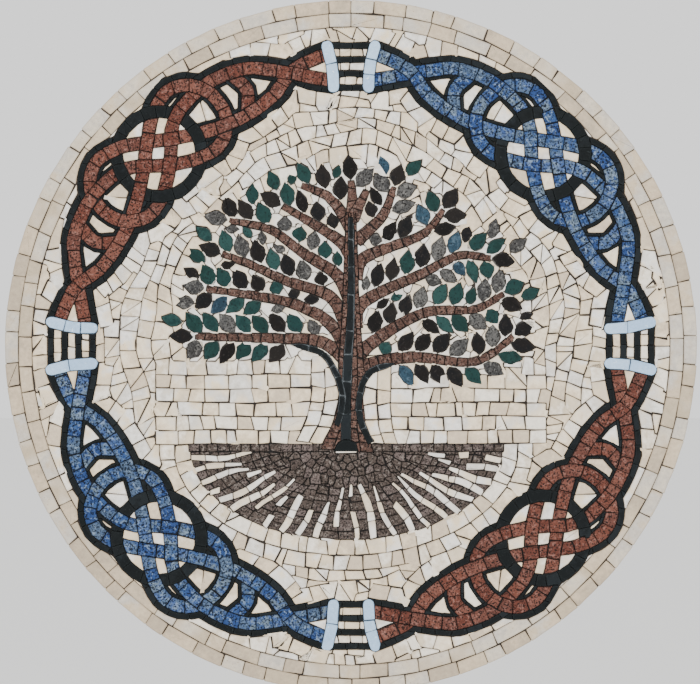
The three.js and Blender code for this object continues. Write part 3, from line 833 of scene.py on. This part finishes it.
def arranged():
    """Cuts all shapes along one another. Gives the corners, the triangles and each one's top shape."""
    corners, edges = [], []
    for _, _, outline in layout:
        first, count = len(corners), len(outline)
        edges += [(first + index, first + (index + 1) % count) for index in range(count)]
        corners += [Vector((point.real, point.imag)) for point in outline]
    points, _, triangles, *_ = delaunay_2d_cdt(corners, edges, [], 0, 0.02, False)
    points = np.array([complex(*point) for point in points])
    triangles = np.array(triangles)
    middles = points[triangles].mean(1)
    by_column = np.argsort(middles.real)
    columns = middles.real[by_column]
    owner = np.full(len(triangles), -1)
    for index in sorted(range(len(layout)), key=lambda index: layout[index][0]):
        outline = layout[index][2]
        start, end = np.searchsorted(columns, [outline.real.min(), outline.real.max()])
        near = by_column[start:end]
        near = near[(middles[near].imag > outline.imag.min()) & (middles[near].imag < outline.imag.max())]
        owner[near[inside(middles[near], outline)]] = index
    kept = owner >= 0
    return points, triangles[kept].tolist(), owner[kept].tolist()


def inside(points, outline):
    """Which points lie inside an outline."""
    after = np.roll(outline, -1)
    spans = (outline.imag[None] > points.imag[:, None]) != (after.imag[None] > points.imag[:, None])
    rise = np.where(after.imag == outline.imag, 1, after.imag - outline.imag)
    reach = outline.real + (points.imag[:, None] - outline.imag) * (after.real - outline.real) / rise
    return (spans & (points.real[:, None] < reach)).sum(1) % 2 == 1


def area_of(outline):
    return cross(outline, np.roll(outline, -1)).sum() / 2


class Stone:
    """A group of triangles, with its piece, the outline it was laid with, its area and its neighbours."""

    def __init__(self, shape):
        self.piece = layout[shape][1]
        self.outline = layout[shape][2]
        self.triangles = []
        self.area = 0.0
        self.sides = defaultdict(float)


def sides_of(triangle):
    return zip(triangle, triangle[1:] + triangle[:1])


def neighbours(group, triangles):
    """The triangles beside each one of a group, each with the side between them."""
    by_side = defaultdict(list)
    for index in group:
        for side in sides_of(triangles[index]):
            by_side[frozenset(side)].append(index)
    near = defaultdict(list)
    for side, both in by_side.items():
        if len(both) == 2:
            near[both[0]].append((both[1], side))
            near[both[1]].append((both[0], side))
    return near


def gathered(points, triangles, shapes):
    """The stones: triangles of one shape that hang together."""
    near = neighbours(range(len(triangles)), triangles)
    owner = {}
    stones = []
    for first in range(len(triangles)):
        if first in owner:
            continue
        stone = Stone(shapes[first])
        stack = [first]
        owner[first] = len(stones)
        while stack:
            index = stack.pop()
            stone.triangles.append(index)
            stone.area += abs(area_of(points[list(triangles[index])]))
            for other, _ in near[index]:
                if other not in owner and shapes[other] == shapes[first]:
                    owner[other] = len(stones)
                    stack.append(other)
        stones.append(stone)
    for index, others in near.items():
        for other, (start, end) in others:
            if owner[index] != owner[other]:
                stones[owner[index]].sides[owner[other]] += abs(points[start] - points[end])
    return stones


def merged(stones):
    """Joins each scrap to the neighbour of its own piece that it meets along the longest side.

    SCRAPS holds, for the ground, how many times the smallest stone's area a scrap may have, and the
    area up to which a thin stone counts as a scrap.
    """
    joined = list(range(len(stones)))

    def final(index):
        while joined[index] != index:
            index = joined[index]
        return index

    for index in sorted(range(len(stones)), key=lambda index: stones[index].area):
        stone = stones[index]
        small, large = SCRAPS.get(stone.piece, (1, 0))
        thin = stone.area < min(THINNEST_STONE * sum(stone.sides.values()) / 2, large)
        if stone.area > SMALLEST_STONE * small and not thin:
            continue
        sides = defaultdict(float)
        for other, length in stone.sides.items():
            other = final(other)
            if other != index and stones[other].piece == stone.piece:
                sides[other] += length
        if sides:
            target = max(sides, key=sides.get)
            joined[index] = target
            stones[target].triangles += stone.triangles
            stones[target].area += stone.area
            for other, length in stone.sides.items():
                stones[target].sides[other] += length
    return [stone for index, stone in enumerate(stones) if joined[index] == index]


def loops_of(group, triangles):
    """The closed loops of corners round a group of triangles."""
    edges = {side for index in group for side in sides_of(triangles[index])}
    after = defaultdict(list)
    for start, end in sorted(edges):
        if (end, start) not in edges:
            after[start].append(end)
    loops = []
    while after:
        loop = [next(iter(after))]
        while after.get(loop[-1]):
            following = after[loop[-1]].pop()
            if not after[loop[-1]]:
                del after[loop[-1]]
            if following == loop[0]:
                break
            loop.append(following)
        loops.append(loop)
    return loops


def outlines_of(group, points, triangles):
    """The outlines of the stones that a group of triangles makes. A group round a hole is split in two."""
    loops = [points[loop] for loop in loops_of(group, triangles)]
    loops.sort(key=lambda loop: -abs(area_of(loop)))
    area = sum(abs(area_of(points[triangles[index]])) for index in group)
    if len(loops) == 1 or area_of(loops[0]) < 1.03 * area + 2:
        return loops[:1]
    axis = loops[0].mean() - loops[1].mean() + 0.01
    middles = np.array([points[triangles[index]].mean() for index in group]) - loops[1].mean()
    beyond = cross(axis, middles) > 0
    halves = [[index for index, side in zip(group, beyond) if side == half] for half in (True, False)]
    return [outline for half in halves for part in islands(half, triangles)
            for outline in outlines_of(part, points, triangles)]


def islands(group, triangles):
    """The parts of a group of triangles that hang together."""
    near = neighbours(group, triangles)
    left, parts = set(group), []
    for first in group:
        if first not in left:
            continue
        left.remove(first)
        part = [first]
        for index in part:
            for other, _ in near[index]:
                if other in left:
                    left.remove(other)
                    part.append(other)
        parts.append(part)
    return parts


def simplified(outline, tolerance=0.45):
    """The outline without corners that hardly matter."""
    outline = list(outline)
    while len(outline) > 3:
        before, after = np.roll(outline, 1), np.roll(outline, -1)
        span = after - before
        lift = np.abs(cross(np.array(outline) - before, span)) / np.maximum(np.abs(span), 1e-6)
        least = int(np.argmin(lift))
        if lift[least] > tolerance:
            break
        outline.pop(least)
    return np.array(outline)


def parted(outline, largest):
    """The outline, cut across its length until no part is larger than the largest stone."""
    if area_of(outline) < largest:
        return [outline]
    middle = outline.mean()
    axis = cmath.exp(0.5j * cmath.phase(((outline - middle)**2).sum()))
    axis *= cmath.exp(1j * rng.uniform(-0.3, 0.3))
    halves = [clipped(list(outline), middle, axis), clipped(list(outline), middle, -axis)]
    return [part for half in halves if len(half) > 2 for part in parted(np.array(half), largest)]


def inset(outline, distance):
    """The outline moved inward by a distance, or by one distance for each corner."""
    before = outline - np.roll(outline, 1)
    after = np.roll(outline, -1) - outline
    before, after = before / np.abs(before), after / np.abs(after)
    lean = 1j * (before + after)
    lean = lean / np.maximum(np.abs(lean), 1e-6)
    sharpness = np.maximum((lean * (1j * after).conj()).real, 0.5)
    return outline + lean * distance / sharpness


def nipped(outline):
    """The outline with each corner cut off a little and each long side broken once, unevenly."""
    shape = []
    after = np.roll(outline, -1)
    for start, end in zip(outline, after):
        side = end - start
        length = abs(side)
        ends = min(rng.uniform(*NIP), length / 4)
        across = 1j * side / length
        shape.append(start + side * ends / length)
        if length > LONG_SIDE:
            share = rng.uniform(0.3, 0.7)
            shape.append(start + side * share + across * rng.normal(0, SIDE_WAVER))
        shape.append(end - side * min(rng.uniform(*NIP), length / 4) / length)
    return np.array(shape)


# Meshes

def to_frame(point, height):
    """A point of the picture plan, at a height above the wall, in metres."""
    point *= min(1, (DISC_RADIUS - EDGE_PLAY) / max(abs(point), 1))
    return (point.real * MM, -height * MM, point.imag * MM)


class Pile:
    """Stones of one piece, gathered into one mesh with values for the materials."""

    def __init__(self):
        self.corners, self.faces = [], []
        self.shade, self.edge, self.place = [], [], []
        self.squares = []

    def add_stone(self, outline, share):
        gaps = share * JOINT / 2 * np.minimum(rng.lognormal(-0.25, 0.6, len(outline)), 2.6)
        rim = nipped(inset(outline, gaps))
        if area_of(rim) < 3:
            return
        middle = rim.mean()
        sink = abs(rng.normal(0, SINK))
        tilt = complex(*rng.normal(0, TILT, 2))
        lift = ((rim - middle) * tilt.conjugate()).real
        top = FACE - sink - np.abs(lift).max() + lift
        bevel = CHAMFER * rng.uniform(0.7, 1.3)
        inner = inset(rim, FACE_INSET)
        if area_of(inner) < 0.35 * area_of(rim):
            inner = middle + (rim - middle) * 0.75
        chamfer = inset(rim, bevel)
        foot = inset(rim, -FOOT_SPREAD)
        floor = np.full(len(rim), STONE_FLOOR)
        # The edge value is 0 on the face and 1 on the rim and the foot, so the walls down in the joints take
        # the edge colour: painted shade there
        rings = ((inner, top, 0), (chamfer, top, 0.5), (rim, top - bevel, 1), (foot, floor, 1))
        base, count = len(self.corners), len(rim)
        shade = rng.uniform(0, 1)
        place = rng.uniform(-1, 1, 3)
        for points, heights, edge in rings:
            self.corners += [to_frame(point, height) for point, height in zip(points, heights)]
            self.edge += [edge] * count
        self.shade += [shade] * (4 * count)
        self.place += [place] * (4 * count)
        around = range(count)
        self.faces.append([base + index for index in around])
        for ring_base in range(base, base + 3 * count, count):
            for index in around:
                following = (index + 1) % count
                self.faces.append([ring_base + following, ring_base + index,
                                   ring_base + count + index, ring_base + count + following])
        self.faces.append([base + 3 * count + index for index in reversed(around)])
        self.squares += [SEEN] * (3 * count + 1) + [UNDERSIDE]

    def mesh(self, name):
        data = bpy.data.meshes.new(name)
        data.from_pydata(self.corners, [], self.faces)
        for label, kind, values in (("shade", "FLOAT", self.shade), ("edge", "FLOAT", self.edge)):
            data.attributes.new(label, kind, "POINT").data.foreach_set("value", values)
        place = data.attributes.new("place", "FLOAT_VECTOR", "POINT")
        place.data.foreach_set("vector", np.ravel(self.place))
        add_front_map(data, self.squares)
        data.update()
        piece = bpy.data.objects.new(name, data)
        bpy.context.scene.collection.objects.link(piece)
        return piece


def add_front_map(data, squares):
    """A texture map that is the piece seen from the front, with a square of the map for each face."""
    places = np.zeros(len(data.vertices) * 3)
    data.vertices.foreach_get("co", places)
    places = places.reshape(-1, 3)[:, [0, 2]]
    low = places.min(0)
    size = (places.max(0) - low).max()
    corners = np.zeros(len(data.loops), np.int32)
    data.loops.foreach_get("vertex_index", corners)
    counts = np.zeros(len(data.polygons), np.int32)
    data.polygons.foreach_get("loop_total", counts)
    squares = np.repeat(np.array(squares), counts, axis=0)
    layer = data.uv_layers.new(name="OFBake")
    spots = squares[:, :1] + squares[:, 1:] * (places[corners] - low) / size
    layer.data.foreach_set("uv", spots.ravel())


# Materials

class Nodes:
    """A material's node tree, with short calls for what the stones use."""

    def __init__(self, name):
        self.material = bpy.data.materials.new(name)
        self.material.use_nodes = True
        self.tree = self.material.node_tree
        self.shader = self.tree.nodes["Principled BSDF"]

    def add(self, kind, inputs=(), **settings):
        node = self.tree.nodes.new(kind)
        for key, value in settings.items():
            setattr(node, key, value)
        for key, value in dict(inputs).items():
            self.put(node.inputs[key], value)
        return node

    def put(self, socket, value):
        if isinstance(value, bpy.types.NodeSocket):
            self.tree.links.new(value, socket)
        else:
            socket.default_value = value

    def attribute(self, name, output="Fac"):
        return self.add("ShaderNodeAttribute", attribute_name=name).outputs[output]

    def math(self, operation, one, other=0.0):
        return self.add("ShaderNodeMath", {0: one, 1: other}, operation=operation).outputs[0]

    def mix(self, share, one, other, kind="MIX"):
        node = self.add("ShaderNodeMix", data_type="RGBA", blend_type=kind)
        self.put(node.inputs[0], share)
        self.put(node.inputs[6], one)
        self.put(node.inputs[7], other)
        return node.outputs[2]

    def ramp(self, value, *stops):
        """Colours or grey levels at places along a value."""
        node = self.add("ShaderNodeValToRGB", {0: value})
        ramp = node.color_ramp
        while len(ramp.elements) < len(stops):
            ramp.elements.new(1)
        for element, (place, color) in zip(ramp.elements, stops):
            element.position = place
            element.color = (color, color, color, 1) if isinstance(color, (int, float)) else (*color, 1)
        return node.outputs[0]

    def stone_space(self):
        """Coordinates in millimetres that differ from stone to stone, so no two are cut alike."""
        own = self.add("ShaderNodeNewGeometry").outputs["Position"]
        scaled = self.add("ShaderNodeVectorMath", {0: own, 3: 1 / MM}, operation="SCALE")
        shift = self.add("ShaderNodeVectorMath", {0: self.attribute("place", "Vector"), 3: 500.0},
                         operation="SCALE")
        return self.add("ShaderNodeVectorMath", {0: scaled.outputs[0], 1: shift.outputs[0]}).outputs[0]

    def noise(self, space, size, detail=3.0, rough=0.55, stretch=0.0):
        return self.add("ShaderNodeTexNoise", {
            "Vector": space, "Scale": 1 / size, "Detail": detail, "Roughness": rough, "Distortion": stretch,
        }).outputs["Fac"]

    def bump(self, height, distance, strength=1.0):
        node = self.add("ShaderNodeBump", {"Height": height, "Distance": distance * MM, "Strength": strength})
        self.put(self.shader.inputs["Normal"], node.outputs[0])


def linear(color):
    """A screen colour, written as in 0xd9cdbb, as the linear values that shaders take."""
    parts = [(color >> shift & 255) / 255 for shift in (16, 8, 0)]
    return [part / 12.92 if part < 0.04045 else ((part + 0.055) / 1.055)**2.4 for part in parts]


def stone_material(name, shades, speck, grain, cover, mottle, polish, edge_wear_and_shade, depth=0.1, vein=None):
    """Stone of several shades: mottled, with grains of another mineral, and an edge colour on the bevel and
    on the walls down in the joints: wear on the bevel, and on most kinds painted shade on the walls.
    """
    nodes = Nodes(name)
    space = nodes.stone_space()
    cloud = nodes.noise(space, mottle, 4, 0.6)
    drift = nodes.math("MULTIPLY", nodes.math("SUBTRACT", cloud, 0.5), 1.1)
    place = nodes.math("ADD", nodes.attribute("shade"), drift)
    stops = [((index + 0.5) / len(shades), linear(color)) for index, color in enumerate(shades)]
    base = nodes.ramp(place, *stops)
    fine = nodes.noise(space, mottle / 8, 3, 0.65)
    base = nodes.mix(1.0, base, nodes.ramp(fine, (0.3, 0.8), (0.7, 1.0)), "MULTIPLY")
    if vein:
        patches = nodes.noise(space, grain * 2.2, 2, 0.6, 0.6)
        base = nodes.mix(nodes.ramp(patches, (0.53, 0.0), (0.66, 0.7)), base, (*linear(vein), 1))
    specks = nodes.noise(space, grain, 2, 0.55, 0.5)
    share = nodes.ramp(specks, (0.62 - cover, 0.0), (0.68 - cover, 0.92))
    base = nodes.mix(share, base, (*linear(speck), 1))
    # The edge colour: wear on the bevel, and on most kinds a darker colour on the walls down in the joints,
    # which is painted shade
    worn_and_shaded = nodes.math("MULTIPLY", nodes.attribute("edge"), nodes.math("MULTIPLY", fine, 1.25))
    base = nodes.mix(worn_and_shaded, base, (*linear(edge_wear_and_shade), 1))
    nodes.shader.inputs["Specular IOR Level"].default_value = STONE_GLOSS
    nodes.put(nodes.shader.inputs["Base Color"], base)
    nodes.put(nodes.shader.inputs["Roughness"], nodes.ramp(fine, (0.25, polish - 0.07), (0.75, polish + 0.1)))
    nodes.bump(nodes.math("ADD", fine, nodes.math("MULTIPLY", specks, -0.5)), depth)
    return nodes.material


def make_materials():
    """Each kind of stone: shades, colour, size and share of its grains, cloud size, roughness, edge colour
    for wear and painted shade in the joints.
    """
    kinds = {
        "cream": ("cream_stone",
                  [0xcfbda4, 0xe4d0b2, 0xf2e1c6, 0xd8d2c8, 0xf0ece5, 0xead6b6, 0xd8c8af, 0xf4ebdb],
                  0xb9a78e, 1.3, -0.06, 30, 0.5, 0x94846f, 0.06),
        "border": ("border_stone", [0xb6a690, 0xc7b49a, 0xcdbba0, 0xc3bcb1, 0xd1c5b2, 0xbdac93],
                   0x9e8d76, 1.3, -0.05, 30, 0.5, 0x8a7b68, 0.06),
        "white": ("white_stone", [0xd9d3c9, 0xe9e6e0, 0xe9d8bc, 0xf1ede6, 0xddcdb4],
                  0xbcb3a6, 1.3, -0.06, 30, 0.45, 0x9a9186, 0.06),
        "red": ("red_stone", [0x5e342a, 0x6b3f33, 0x754a3e, 0x5f3a31],
                0x100c0b, 1.5, 0.1, 6, 0.42, 0x2d1e1a, 0.1, 0x8a6359),
        "blue": ("blue_stone", [0x2a4272, 0x34507f, 0x50637a, 0x3c5588, 0x66757f, 0x2e4878, 0x4a5c74],
                 0x0b101a, 1.6, 0.11, 8, 0.38, 0x172030, 0.1, 0x7c8fa4),
        "dark": ("dark_stone", [0x0e1213, 0x15191b, 0x0c1011, 0x1a1f22],
                 0x24292a, 2.2, -0.05, 9, 0.42, 0x1f2425),
        "pale": ("pale_blue_stone", [0xa9c6e4, 0xb8d2ec, 0xa4c2e2],
                 0xd9e8f5, 3, -0.05, 14, 0.3, 0x98b0c6, 0.04),
        "brown": ("brown_stone", [0x523a32, 0x5f463d, 0x49352e, 0x664c42],
                  0x100c0b, 1.4, 0.1, 4, 0.5, 0x2b221e, 0.1, 0x7c675e),
        "root_brown": ("root_stone", [0x4c423c, 0x5a4f49, 0x443a35, 0x645854],
                       0x100d0c, 1.4, 0.1, 4, 0.5, 0x2b2521, 0.1, 0x7e756e),
        "green": ("green_leaf_stone", [0x142e2b, 0x1b3835, 0x15302f, 0x24423f],
                  0x0d1d1c, 1.8, 0.04, 6, 0.4, 0x2a3c39),
        "black": ("black_leaf_stone", [0x0f0d0c, 0x151211, 0x0f1012, 0x1c1917],
                  0x2c2826, 1.7, 0.0, 6, 0.42, 0x2c2826),
        "grey": ("grey_leaf_stone", [0x3a3938, 0x4a4948, 0x353535, 0x565553],
                 0x121110, 1.4, 0.09, 4, 0.48, 0x3a3836, 0.1, 0x74726e),
        "slate": ("blue_leaf_stone", [0x243a48, 0x2f4756, 0x203340],
                  0x101b24, 1.5, 0.05, 5, 0.42, 0x33424b, 0.1, 0x4e6270),
    }
    return {key: stone_material(*values) for key, values in kinds.items()} | {"adhesive": adhesive_material()}


def adhesive_material():
    """Set adhesive: in front the joint colours, darker than the adhesive to paint the shade in the gaps along
    with some dust, and pale behind, with a net of threads in it.
    """
    nodes = Nodes("adhesive")
    own = nodes.add("ShaderNodeNewGeometry").outputs["Position"]
    space = nodes.add("ShaderNodeVectorMath", {0: own, 3: 1 / MM}, operation="SCALE").outputs[0]
    lumps = nodes.noise(space, 2.6, 4, 0.6)
    # The joint colour of the front: painted shade in the gaps, with some dust
    tint = nodes.attribute("joint", "Color")
    shaded = nodes.mix(1.0, tint, nodes.ramp(lumps, (0.3, 0.7), (0.7, 1.0)), "MULTIPLY")
    wander = nodes.math("MULTIPLY", nodes.noise(space, 40, 2), 3.0)
    split = nodes.add("ShaderNodeSeparateXYZ", {0: space}).outputs
    threads = [nodes.ramp(nodes.math("PINGPONG", nodes.math("ADD", split[axis], wander), NET_PITCH / 2),
                          (THREAD_HALF / 2, 1.0), (THREAD_HALF, 0.0)) for axis in ("X", "Z")]
    behind = nodes.math("GREATER_THAN", split["Y"], -NET_DEPTH)
    net = nodes.math("MULTIPLY", nodes.math("MAXIMUM", *threads), behind)
    patches = nodes.ramp(nodes.noise(space, 55, 4, 0.6), (0.35, 0.45), (0.6, 1.0))
    net = nodes.math("MULTIPLY", net, patches)
    nodes.put(nodes.shader.inputs["Base Color"], nodes.mix(
        nodes.math("MULTIPLY", net, 0.8), shaded, (*linear(NET_SHADE), 1)))
    nodes.put(nodes.shader.inputs["Roughness"], nodes.ramp(lumps, (0.3, 0.82), (0.7, 0.95)))
    nodes.bump(nodes.math("ADD", nodes.math("MULTIPLY", lumps, 0.6), net), 0.35)
    return nodes.material


# Pieces

def piece_table():
    """For each piece, the nodes that it replaces, its record slot and its material."""
    table = {
        "border_outer": (["border_row_outer"], "cream_stone", "border"),
        "border_inner": (["border_row_inner"], "cream_stone", "border"),
        "ground_outside": ([f"ground_outside_{clasp}" for clasp in CLASPS], "cream_stone", "cream"),
        "ground_inside": (["ground_inside"], "cream_stone", "cream"),
        "branches": (["trunk_and_branches"], "brown_stone", "brown"),
        "core": (["trunk_core", "trunk_line"], "dark_stone", "dark"),
        "crown_chips": ([], "cream_stone", "white"),
        "cap": (["root_cap"], "dark_stone", "dark"),
        "roots": (["roots"], "brown_stone", "root_brown"),
        "root_chips": ([], "cream_stone", "white"),
        "leaves_green": (["leaves"], "leaf_stone", "green"),
        "leaves_black": ([], "leaf_stone", "black"),
        "leaves_grey": ([], "leaf_stone", "grey"),
        "leaves_blue": ([], "leaf_stone", "slate"),
    }
    for index, name in enumerate(QUARTERS):
        knot = f"knot_{name}"
        color = "red" if index % 2 else "blue"
        dark = [f"{knot}_{part}" for part in ("outline_outer", "outline_inner", "ring_arc_1", "ring_arc_2")]
        table[f"{knot}_strands"] = ([f"{knot}_strands"], f"{color}_stone", color)
        table[f"{knot}_dark"] = (dark, "dark_stone", "dark")
        table[f"{knot}_chips"] = ([], "cream_stone", "cream")
    for name in CLASPS:
        clasp = f"clasp_{name}"
        table[f"{clasp}_bars"] = ([f"{clasp}_bar_1", f"{clasp}_bar_2"], "pale_blue_stone", "pale")
        table[f"{clasp}_stripes"] = ([f"{clasp}_stripes"], "dark_stone", "dark")
        table[f"{clasp}_lights"] = ([], "cream_stone", "cream")
    return table


def make_bed(points, triangles, tints, material):
    """The bed under the stones: a disc, and the adhesive that fills the joints nearly to the face."""
    used, places = np.unique(triangles, return_inverse=True)
    points, triangles = points[used], places.reshape(-1, 3).tolist()
    top = FACE - GROUT_DEPTH
    inward = (DISC_RADIUS - BED_INSET) / DISC_RADIUS
    corners = [to_frame(point * inward, height)
               for point, height in zip(points, top + rng.uniform(-0.45, 0.35, len(points)))]
    edge = max(loops_of(range(len(triangles)), triangles), key=len)
    faces = list(triangles)
    before = edge
    for share, height in ((inward, BED_THICKNESS), (0.996, BED_THICKNESS), (0.998, 0)):
        following = list(range(len(corners), len(corners) + len(edge)))
        corners += [to_frame(points[index] * share, height) for index in edge]
        faces += [[before[index - 1], following[index - 1], following[index], before[index]]
                  for index in range(len(edge))]
        before = following
    faces.append(before[::-1])
    behind = len(faces) - len(triangles)
    face_tints = [*tints, *[linear(BED_SHADE)] * behind]
    data = bpy.data.meshes.new("adhesive_bed")
    data.from_pydata(corners, [], faces)
    colors = [(*tint, 1) for face, tint in zip(faces, face_tints) for _ in face]
    data.attributes.new("joint", "FLOAT_COLOR", "CORNER").data.foreach_set("color", np.ravel(colors))
    add_front_map(data, [BED_FRONT] * len(triangles) + [BED_BACK] * behind)
    data.materials.append(material)
    piece = bpy.data.objects.new("adhesive_bed", data)
    bpy.context.scene.collection.objects.link(piece)
    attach(piece, "root")
    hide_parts("setting_bed")


# Stage

def make_camera():
    """A camera straight in front, where the disc fills the picture as far as it does in the photograph."""
    metres_per_pixel = DISC_RADIUS * MM / DISC_PIXEL_RADIUS
    camera = bpy.data.cameras.new("camera")
    camera.sensor_width = SENSOR_WIDTH
    camera.lens = SENSOR_WIDTH * CAMERA_DISTANCE / (IMAGE_WIDTH * metres_per_pixel)
    view = bpy.data.objects.new("camera", camera)
    view.location = ((IMAGE_WIDTH / 2 - DISC_PIXEL[0]) * metres_per_pixel, -CAMERA_DISTANCE - FACE * MM,
                     (DISC_PIXEL[1] - IMAGE_HEIGHT / 2) * metres_per_pixel)
    view.rotation_euler = (math.pi / 2, 0, 0)
    bpy.context.scene.collection.objects.link(view)
    bpy.context.scene.camera = view


def make_floor():
    data = bpy.data.meshes.new("floor")
    corners = [(x * FLOOR_HALF, y * FLOOR_HALF, FLOOR_LEVEL) for x, y in ((-1, -1), (1, -1), (1, 1), (-1, 1))]
    data.from_pydata(corners, [], [[0, 1, 2, 3]])
    nodes = Nodes("floor")
    nodes.shader.inputs["Base Color"].default_value = (0.9, 0.9, 0.89, 1)
    nodes.shader.inputs["Roughness"].default_value = 0.9
    data.materials.append(nodes.material)
    floor = bpy.data.objects.new("floor", data)
    bpy.context.scene.collection.objects.link(floor)
    floor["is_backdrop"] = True


def make_light():
    world = bpy.data.worlds.new("studio")
    world.use_nodes = True
    background = world.node_tree.nodes["Background"]
    background.inputs["Color"].default_value = (1, 1, 1, 1)
    background.inputs["Strength"].default_value = SKY_STRENGTH
    bpy.context.scene.world = world
    for name, place, size, power in LAMPS:
        light = bpy.data.lights.new(name, "AREA")
        light.size = size
        light.energy = power
        lamp = bpy.data.objects.new(name, light)
        lamp.location = place
        lamp.rotation_euler = (-Vector(place)).to_track_quat("-Z", "Y").to_euler()
        bpy.context.scene.collection.objects.link(lamp)


def lay_picture():
    lay_ground()
    lay_knot_rows()
    lay_bowl_rows()
    lay_courses()
    lay_border()
    for quarter in range(4):
        lay_knot(quarter)
        lay_clasp(quarter)
    lay_wood()
    lay_leaves()
    lay_roots()
    lay_cap()


def piled(stones, points, triangles, table):
    """The stones as piles, one for each piece, and the colour of the joints at each triangle."""
    piles = defaultdict(Pile)
    tints = {}
    for stone in stones:
        name = stone.piece
        if name == "ground":
            outside = abs(points[triangles[stone.triangles[0]]].mean()) > KNOT_RADIUS
            name = "ground_outside" if outside else "ground_inside"
        material = table[name][2]
        # The joint colour beside the stone: painted shade in the gap, with some dust
        tint = linear(JOINT_DUST_AND_SHADE["core" if name == "core" else material])
        for index in stone.triangles:
            tints[index] = tint
        largest = LARGEST_STONES.get(name, LARGEST_CHIP) if material in ("cream", "white") else math.inf
        whole = name.startswith("leaves") and stone.area > 0.9 * area_of(stone.outline)
        for outline in [stone.outline] if whole else outlines_of(stone.triangles, points, triangles):
            if area_of(outline) > SMALLEST_STONE * 0.6:
                for part in parted(outline if whole else simplified(outline), largest):
                    piles[name].add_stone(part, JOINT_SHARES.get(name, 1))
    return piles, [tints[index] for index in range(len(triangles))]


def make_pieces():
    points, triangles, shapes = arranged()
    stones = merged(gathered(points, triangles, shapes))
    materials = make_materials()
    table = piece_table()
    piles, tints = piled(stones, points, triangles, table)
    for name, pile in piles.items():
        nodes, slot, material = table[name]
        piece = pile.mesh(f"{name}_stones")
        piece.data.materials.append(materials[material])
        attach(piece, "root")
        if nodes:
            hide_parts(*nodes)
    make_bed(points, triangles, tints, materials["adhesive"])


lay_picture()
make_pieces()
make_camera()
make_floor()
make_light()

visual_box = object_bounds()
json.dumps(
    [[list(corner) for corner in box] for box in (cad_box, visual_box)])
